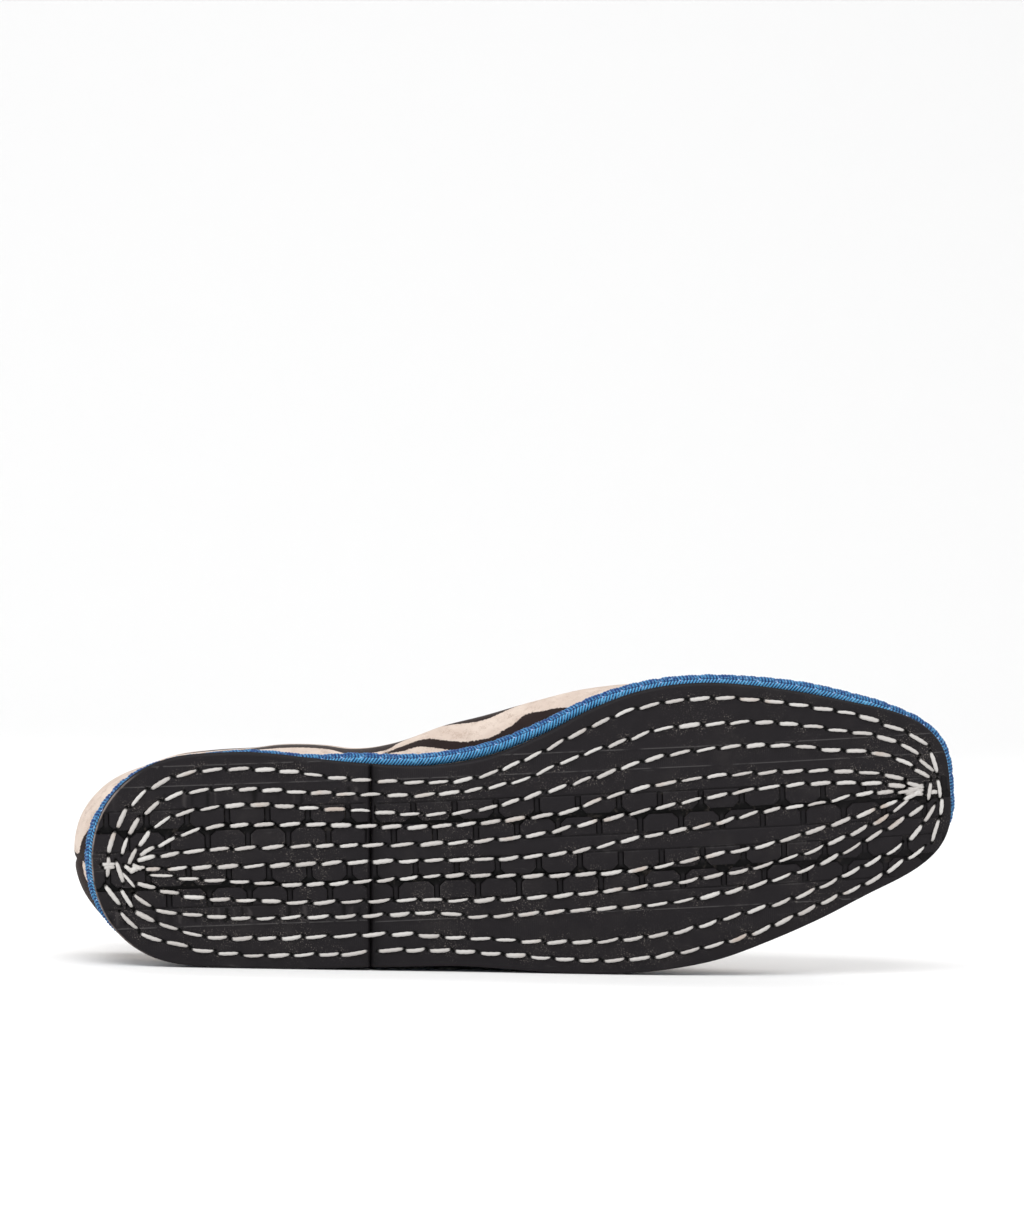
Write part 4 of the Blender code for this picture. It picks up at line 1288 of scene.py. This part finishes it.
# %% Upper shape
FULLEST_HEIGHT, FULLEST_SHARE = 24.0, 0.55
SIDE_SQUARENESS = 0.8
HEEL_PIVOT_X, TOE_PIVOT_X = 32.0, 238.0
THROAT_X, THROAT_DEPTH = 154.0, 34.0
VAMP_COLUMNS = 110
QUARTER_COLUMNS = 150
THROAT_CROWDING = 0.12
WALL_ROWS = 46
FOOT_CROWDING = 1.15
RIDGE_COLUMNS = ("x", "y", "z")
RIDGE = np.array([
    (32, 2.0, 97.0), (60, 3.0, 93.0), (90, 4.0, 84.0), (120, 3.5, 73.0), (150, 2.0, 60.0),
    (165, 1.5, 53.0), (185, 1.0, 45.5), (205, 0.5, 39.5), (225, -0.5, 34.5), (240, -1.0, 31.0),
])
COLLAR_COLUMNS = ("x", "z")
COLLAR = np.array([(0, 59.0), (30, 54.0), (60, 48.0), (90, 46.0), (120, 49.0), (154, 57.0)])


def wall_stations(run):
    """Distances from the toe at which the upper's columns stand, crowded just behind the throat."""
    reached = travelled(run)
    throat = np.interp(-THROAT_X, -run[:, 0], reached)
    vamp = np.linspace(0, throat, VAMP_COLUMNS + 1)
    u = np.linspace(0, 1, QUARTER_COLUMNS + 1)[1:]
    behind = (1 + THROAT_CROWDING) * u * u / (u + THROAT_CROWDING)
    return np.concatenate([vamp, throat + (reached[-1] - throat) * behind])


def collar_angle(x, base, height):
    """How far a column of the wall climbs its curve: a quarter turn on the vamp, less behind the throat."""
    if x > THROAT_X:
        return math.pi / 2
    top = smooth(COLLAR, COLLAR_COLUMNS, "z", x)
    opening = math.cos(math.asin((top - base) / height)) ** SIDE_SQUARENESS
    behind = min((THROAT_X - x) / THROAT_DEPTH, 1)
    share = opening * math.sqrt(1 - (1 - behind) ** 2)
    return math.acos(share ** (1 / SIDE_SQUARENESS))


def wall_column(low_place, full_place, x):
    """Points up the wall, from its lower edge over its fullest place to the collar or the ridge."""
    share = (x - SOLE_BACK) / (SOLE_FRONT - SOLE_BACK)
    ridge_x = HEEL_PIVOT_X + (TOE_PIVOT_X - HEEL_PIVOT_X) * share
    ridge = np.array([ridge_x, smooth(RIDGE, RIDGE_COLUMNS, "y", ridge_x)])
    base = rise(low_place[0]) + SOLE_THICKNESS + CLEARANCE
    height = smooth(RIDGE, RIDGE_COLUMNS, "z", ridge_x) - base
    climb = collar_angle(x, base, height) * np.linspace(0, 1, WALL_ROWS + 1) ** FOOT_CROWDING
    z = height * np.sin(climb)
    swell = np.clip(z / min(FULLEST_HEIGHT, FULLEST_SHARE * height), 0, 1)
    swell = swell ** 3 * (10 - 15 * swell + 6 * swell ** 2)
    outside = low_place + (full_place - low_place) * swell[:, None]
    pull = np.cos(climb)[:, None].clip(0) ** SIDE_SQUARENESS
    plan = outside * pull + ridge * (1 - pull)
    return np.column_stack([plan, base + z])


def upper_columns():
    """Columns round the shoe, from the heel by the inner side, and their runs from the heel seam."""
    made = []
    stations = [wall_stations(run) for run in sides(foot)]
    feet = [along_run(run, reached) for run, reached in zip(sides(foot), stations)]
    middle_x = (feet[0][:, 0] + feet[1][:, 0]) / 2
    for reached, low_places, run in zip(stations, feet, sides(full)):
        full_places = along_run(run, reached / reached[-1] * travelled(run)[-1])
        made.append([wall_column(*place) for place in zip(low_places, full_places, middle_x)])
    inner_run = stations[0][-1] - stations[0]
    outer_run = stations[1] - stations[1][-1]
    columns = np.array(made[0][::-1] + made[1][1:-1])
    return columns, np.concatenate([inner_run[::-1], outer_run[1:-1]])


columns, seam_distance = upper_columns()
wall_steps = np.linalg.norm(np.diff(columns, axis=1), axis=2)
wall_up = np.concatenate([np.zeros((len(columns), 1)), np.cumsum(wall_steps, axis=1)], axis=1)
print("upper columns", len(columns), "inner side", round(seam_distance.max()), "mm")

# %% [markdown]
# The print is a common animal stripe: long dark bands that run along the shoe, swell, fork and taper off.
# The bands that the photograph shows are listed as distance from the heel seam with a low and a high
# edge on the wall. The hidden sides continue with bands drawn by a slow wave, which counts from the
# ridge down both sides and so runs on over the vamp. Each point stores how deep it lies inside a band,
# and the finish turns that into a ragged edge.

# %% Stripes
# Places of each band: distance from the heel seam, low edge and high edge
PHOTO_BANDS = (
    ((109, 14.2, 14.6), (115, 14.6, 17.3), (120, 15.3, 18.7), (124, 13.3, 18.4), (129, 9.8, 14.8),
     (134, 4, 12.5), (145, 3, 12.0), (150, 3, 13.6), (155.5, 3, 15.6), (160, 3, 14.3), (165, 4, 12.6),
     (172, 6.5, 7.5)),
    ((130, 24.3, 24.8), (136, 21.5, 26), (143, 19.9, 28), (149, 21.3, 30), (158, 25, 32), (175, 29, 34),
     (190, 33, 33.5)),
    ((52, 24, 24.5), (58, 20, 27), (63, 20.5, 27.5), (68, 21.5, 27), (72, 21, 28), (77, 19.8, 28),
     (82, 19.6, 28), (87, 19.6, 28), (91, 19, 27), (95, 18, 26), (98, 15.5, 25), (102, 14.8, 25),
     (107, 16.5, 26), (112.6, 18, 27), (116, 21.5, 27), (120, 26, 29), (128, 30, 30.5)),
    ((2.2, 6, 17), (3.4, 6, 16.4), (6.7, 7, 15.4), (7.8, 8, 14.6), (10.2, 9, 12.6), (12.5, 9, 10)),
    ((-45, 9, 18), (-30, 6, 26), (-20, 6, 34), (-12, 8, 40), (-8.5, 9.5, 43), (-6, 13.6, 43),
     (-2.2, 15.0, 43), (0, 16.0, 43), (2.2, 16.8, 43), (3.0, 28, 28.5)),
    ((-170, 17, 18), (-150, 11, 24), (-130, 9, 26), (-115, 10, 22), (-100, 14, 15)),
)
HAND_PLACED_UP_TO, HAND_PLACED_FADE = 27.0, 6.0
HAND_PLACED_FROM, HAND_PLACED_TO = (-75.0, -50.0), (225.0, 190.0)
CLEARED_BY, DEEPEST = 12, 6
BAND_PERIOD, BAND_SLANT, BAND_THINNER = 15.0, 95.0, 0.25
# Noise that moves the drawn bands: its length along and across, its slice and its strength
WANDER, SHIVER, SWELL = (70, 45, 9.0, 1.1), (25, 18, 5.0, 0.28), (38, 22, 7.0, 1.1)


def band_depth(run, up, band):
    """How far inside one band a place is, in millimetres, negative outside it."""
    table = np.array(band, float)
    columns = ("run", "low", "high")
    low = smooth(table, columns, "low", run)
    high = smooth(table, columns, "high", run)
    beyond = np.maximum(table[0, 0] - run, run - table[-1, 0]).clip(0)
    return np.minimum(up - low, high - up) - beyond


def drift(x, aside, length_along, length_across, slice_at, strength):
    return noise.noise((x / length_along, aside / length_across, slice_at)) * strength


def drawn_depth(x, aside):
    """Bands on the hidden sides: a wave across the shoe that wanders, swells and breaks along it."""
    wander = drift(x, aside, *WANDER) + drift(x, aside, *SHIVER)
    wave = math.sin(2 * math.pi * (aside / BAND_PERIOD - x / BAND_SLANT + wander))
    return (wave - BAND_THINNER + drift(x, aside, *SWELL)) * BAND_PERIOD / (2 * math.pi)


def stripe_depth():
    """How far inside a dark band each point of the wall is, from the listed bands where the photograph shows
    them.
    """
    run = np.repeat(seam_distance, WALL_ROWS + 1)
    up = wall_up.reshape(-1)
    x, y, z = columns.reshape(-1, 3).T
    off = y - smooth(RIDGE, RIDGE_COLUMNS, "y", x)
    aside = off + np.sign(off) * (smooth(RIDGE, RIDGE_COLUMNS, "z", x) - z)
    drawn = np.array([drawn_depth(*place) for place in zip(x, aside)])
    shown = soft_step(run, *HAND_PLACED_FROM) * soft_step(run, *HAND_PLACED_TO)
    shown = shown * soft_step(up, HAND_PLACED_UP_TO + HAND_PLACED_FADE, HAND_PLACED_UP_TO)
    depth = drawn - CLEARED_BY * shown
    for band in PHOTO_BANDS:
        depth = np.maximum(depth, band_depth(run, up, band))
    return depth.clip(-DEEPEST, DEEPEST)


stripes = stripe_depth()
print("dark share of the print", round(float((stripes > 0).mean()), 2))

# %% [markdown]
# Velvet has a short dense pile. It scatters light at grazing angles, so its rim is pale and its colour is
# deep where one looks into it. Sheen gives that rim, fine noise gives the pile, and ragged noise on the
# stripe depth keeps the printed edges from being sharper than the fibres that carry them. Behind the
# braid, painted shade darkens the lowest millimetres of the velvet. The lining inside is plain woven cotton.

# %% Velvet and lining
CREAM_DEEP, CREAM_PALE = (0.53, 0.435, 0.375, 1), (0.60, 0.51, 0.445, 1)
CREAM_PILE, FOOT_SHADE_TONE = (0.44, 0.35, 0.295, 1), (0.012, 0.010, 0.010, 1)
BROWN_DEEP, BROWN_PALE = (0.007, 0.0036, 0.0034, 1), (0.027, 0.0160, 0.0155, 1)
LINING_DEEP, LINING_PALE = (0.33, 0.27, 0.20, 1), (0.72, 0.64, 0.52, 1)
FOOT_SHADE_FADE = (1.8, 0.9)


def velvet_finish():
    material, tree, shader = new_finish(
        "striped_velvet", Specular_IOR_Level=0.1, Sheen_Weight=0.1, Sheen_Roughness=0.4,
        Sheen_Tint=(1.0, 0.93, 0.88, 1))
    place = object_place(tree)
    pile = effect(tree, "fine_fibres", Place=place, Scale=2600.0)
    brushed = clouds(tree, place, 130.0, 4.0, 0.6)
    ragged = times(tree, calc(tree, "SUBTRACT", clouds(tree, place, 1500.0, 2.0), 0.5), 1.5)
    dark = mask(tree, calc(tree, "ADD", own(tree, "stripe"), ragged), -0.18, 0.18)
    cream = between(tree, mask(tree, brushed, 0.35, 0.7), CREAM_DEEP, CREAM_PALE)
    cream = between(tree, mask(tree, pile["Shade"], 0.48, 0.62), cream, CREAM_PILE)
    brown = between(tree, pile["Shade"], BROWN_DEEP, BROWN_PALE)
    striped = between(tree, dark, cream, brown)
    # painted shade over the velvet's lowest millimetres, behind the braid
    join(tree, shader, Base_Color=between(tree, mask(tree, own(tree, "up"), *FOOT_SHADE_FADE), striped, FOOT_SHADE_TONE),
         Roughness=calc(tree, "MULTIPLY_ADD", pile["Shade"], 0.15, 0.75),
         Normal=bumped(tree, pile["Height"], 0.00018, 0.55))
    return material


def lining_finish():
    material, tree, shader = new_finish("cotton_lining", Specular_IOR_Level=0.2, Sheen_Weight=0.1)
    weave = effect(tree, "plain_weave", Along=own(tree, "along"), Across=own(tree, "up"), Thread=0.55)
    fibres = effect(tree, "fine_fibres", Place=object_place(tree), Scale=3000.0)
    shade = times(tree, weave["Shade"], calc(tree, "MULTIPLY_ADD", fibres["Shade"], 0.5, 0.75))
    join(tree, shader, Base_Color=between(tree, shade, LINING_DEEP, LINING_PALE),
         Roughness=calc(tree, "MULTIPLY_ADD", fibres["Shade"], 0.1, 0.8),
         Normal=bumped(tree, weave["Height"], 0.00012, 0.6))
    return material


print("velvet with", len(PHOTO_BANDS), "bands placed by hand")

# %% [markdown]
# The wall gets the marks of its sewing by hand: small gathers above the piping, a seam down the heel and
# slow swells in the cloth. Solidify then gives it its thickness, with the lining as its inner face, and
# Bevel turns the edge at the collar.

# %% Upper mesh
GATHER_PITCH, GATHER_DEPTH = 9.0, 0.25
GATHERS_FROM, GATHERS_TO = (2.0, 6.0), (9.0, 18.0)
GATHER_DRIFT, GATHER_DRIFT_LENGTH = 2, 23
SEAM_DEPTH, SEAM_WIDTH = 0.7, 1.1
SWELLS_PER_MM, SWELL_HEIGHT, SWELLS_FROM = 0.03, 0.5, (6.0, 20.0)
EDGE_ROUND, EDGE_STEPS, EDGE_ANGLE = 0.8, 3, math.radians(60)
WELD_WITHIN = 0.00001
TINY = 1e-9


def sewn_points():
    """The wall's columns with gathers, swells and the heel seam, moved along their outward normals."""
    along = np.roll(columns, -1, axis=0) - np.roll(columns, 1, axis=0)
    outward = np.cross(along, np.gradient(columns, axis=1))
    outward /= np.maximum(np.linalg.norm(outward, axis=2, keepdims=True), TINY)
    from_middle = columns - columns.mean(axis=(0, 1))
    outward = outward * np.sign((outward * from_middle).sum(axis=2, keepdims=True))
    run = np.repeat(seam_distance[:, None], WALL_ROWS + 1, axis=1)
    near_foot = soft_step(wall_up, *GATHERS_FROM) * (1 - soft_step(wall_up, *GATHERS_TO))
    phase = 2 * math.pi * run / GATHER_PITCH + GATHER_DRIFT * np.sin(run / GATHER_DRIFT_LENGTH)
    gathers = near_foot * GATHER_DEPTH * np.sin(phase)
    seam = SEAM_DEPTH * np.exp(-(run / SEAM_WIDTH) ** 2)
    swells = np.array([noise.noise(tuple(place)) for place in (columns * SWELLS_PER_MM).reshape(-1, 3)])
    swells = swells.reshape(run.shape) * SWELL_HEIGHT * soft_step(wall_up, *SWELLS_FROM)
    return columns + outward * (gathers + swells - seam)[..., None]


def upper_mesh():
    points = sewn_points().reshape(-1, 3)
    faces = grid_faces(len(columns), WALL_ROWS + 1, closed=True).tolist()
    values = {"stripe": stripes, "along": np.repeat(seam_distance, WALL_ROWS + 1), "up": wall_up}
    made = add_piece("velvet_upper", points, faces, [velvet_finish(), lining_finish()], values)
    weld = made.modifiers.new("ridge", "WELD")
    weld.merge_threshold = WELD_WITHIN
    thick = made.modifiers.new("wall", "SOLIDIFY")
    thick.thickness = WALL * MM
    thick.offset = -1
    thick.use_quality_normals = True
    thick.material_offset = 1
    rounded = made.modifiers.new("turned_edge", "BEVEL")
    rounded.width = EDGE_ROUND * MM
    rounded.segments = EDGE_STEPS
    rounded.limit_method = "ANGLE"
    rounded.angle_limit = EDGE_ANGLE
    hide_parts("upper")
    return made


upper_mesh()

# %% [markdown]
# ## Insole
#
# Looking in at the collar one sees the sock: a flat insole covered with plain woven cloth. It is a sheet
# between the two lower edges of the upper, slightly domed, with its own thickness.

# %% Insole
INSOLE_STATIONS = 90
INSOLE_ACROSS = 26
INSOLE_DOME = 0.5
SOCK_DEEP, SOCK_PALE = (0.22, 0.17, 0.12, 1), (0.52, 0.44, 0.34, 1)


def insole_finish():
    material, tree, shader = new_finish("insole_cloth", Specular_IOR_Level=0.2)
    weave = effect(tree, "plain_weave", Along=own(tree, "along"), Across=own(tree, "across"), Thread=0.8)
    fibres = effect(tree, "fine_fibres", Place=object_place(tree), Scale=2500.0)
    shade = times(tree, weave["Shade"], calc(tree, "MULTIPLY_ADD", fibres["Shade"], 0.6, 0.7))
    join(tree, shader, Base_Color=between(tree, shade, SOCK_DEEP, SOCK_PALE),
         Roughness=calc(tree, "MULTIPLY_ADD", fibres["Shade"], 0.1, 0.8),
         Normal=bumped(tree, weave["Height"], 0.00015, 0.6))
    return material


def insole_mesh(finish):
    inner, outer = sides(foot - edge_normal * (WALL + CLEARANCE))
    front, back = inner[0, 0], inner[-1, 0]
    first = cut_run(inner, front, back, INSOLE_STATIONS)
    second = cut_run(outer, front, back, INSOLE_STATIONS)
    share = np.linspace(0, 1, INSOLE_ACROSS)
    plan = first[:, None] * (1 - share[:, None]) + second[:, None] * share[:, None]
    dome = INSOLE_DOME * (1 - (2 * share - 1) ** 2)
    height = rise(plan[..., 0]) + SOLE_THICKNESS + CLEARANCE + INSOLE_THICKNESS + dome
    points = np.concatenate([plan, height[..., None]], axis=-1).reshape(-1, 3)
    faces = grid_faces(INSOLE_STATIONS, INSOLE_ACROSS, closed=False).tolist()
    values = {"along": points[:, 0], "across": points[:, 1]}
    made = add_piece("insole_sock", points, faces, [finish], values)
    thick = made.modifiers.new("thickness", "SOLIDIFY")
    thick.thickness = (INSOLE_THICKNESS + INSOLE_DOME) * MM
    thick.offset = -1
    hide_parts("insole")
    return made


insole_mesh(insole_finish())

# %% [markdown]
#
# The dressed shoe has to stay the size of its solids.

# %% Finish
bpy.context.view_layer.update()
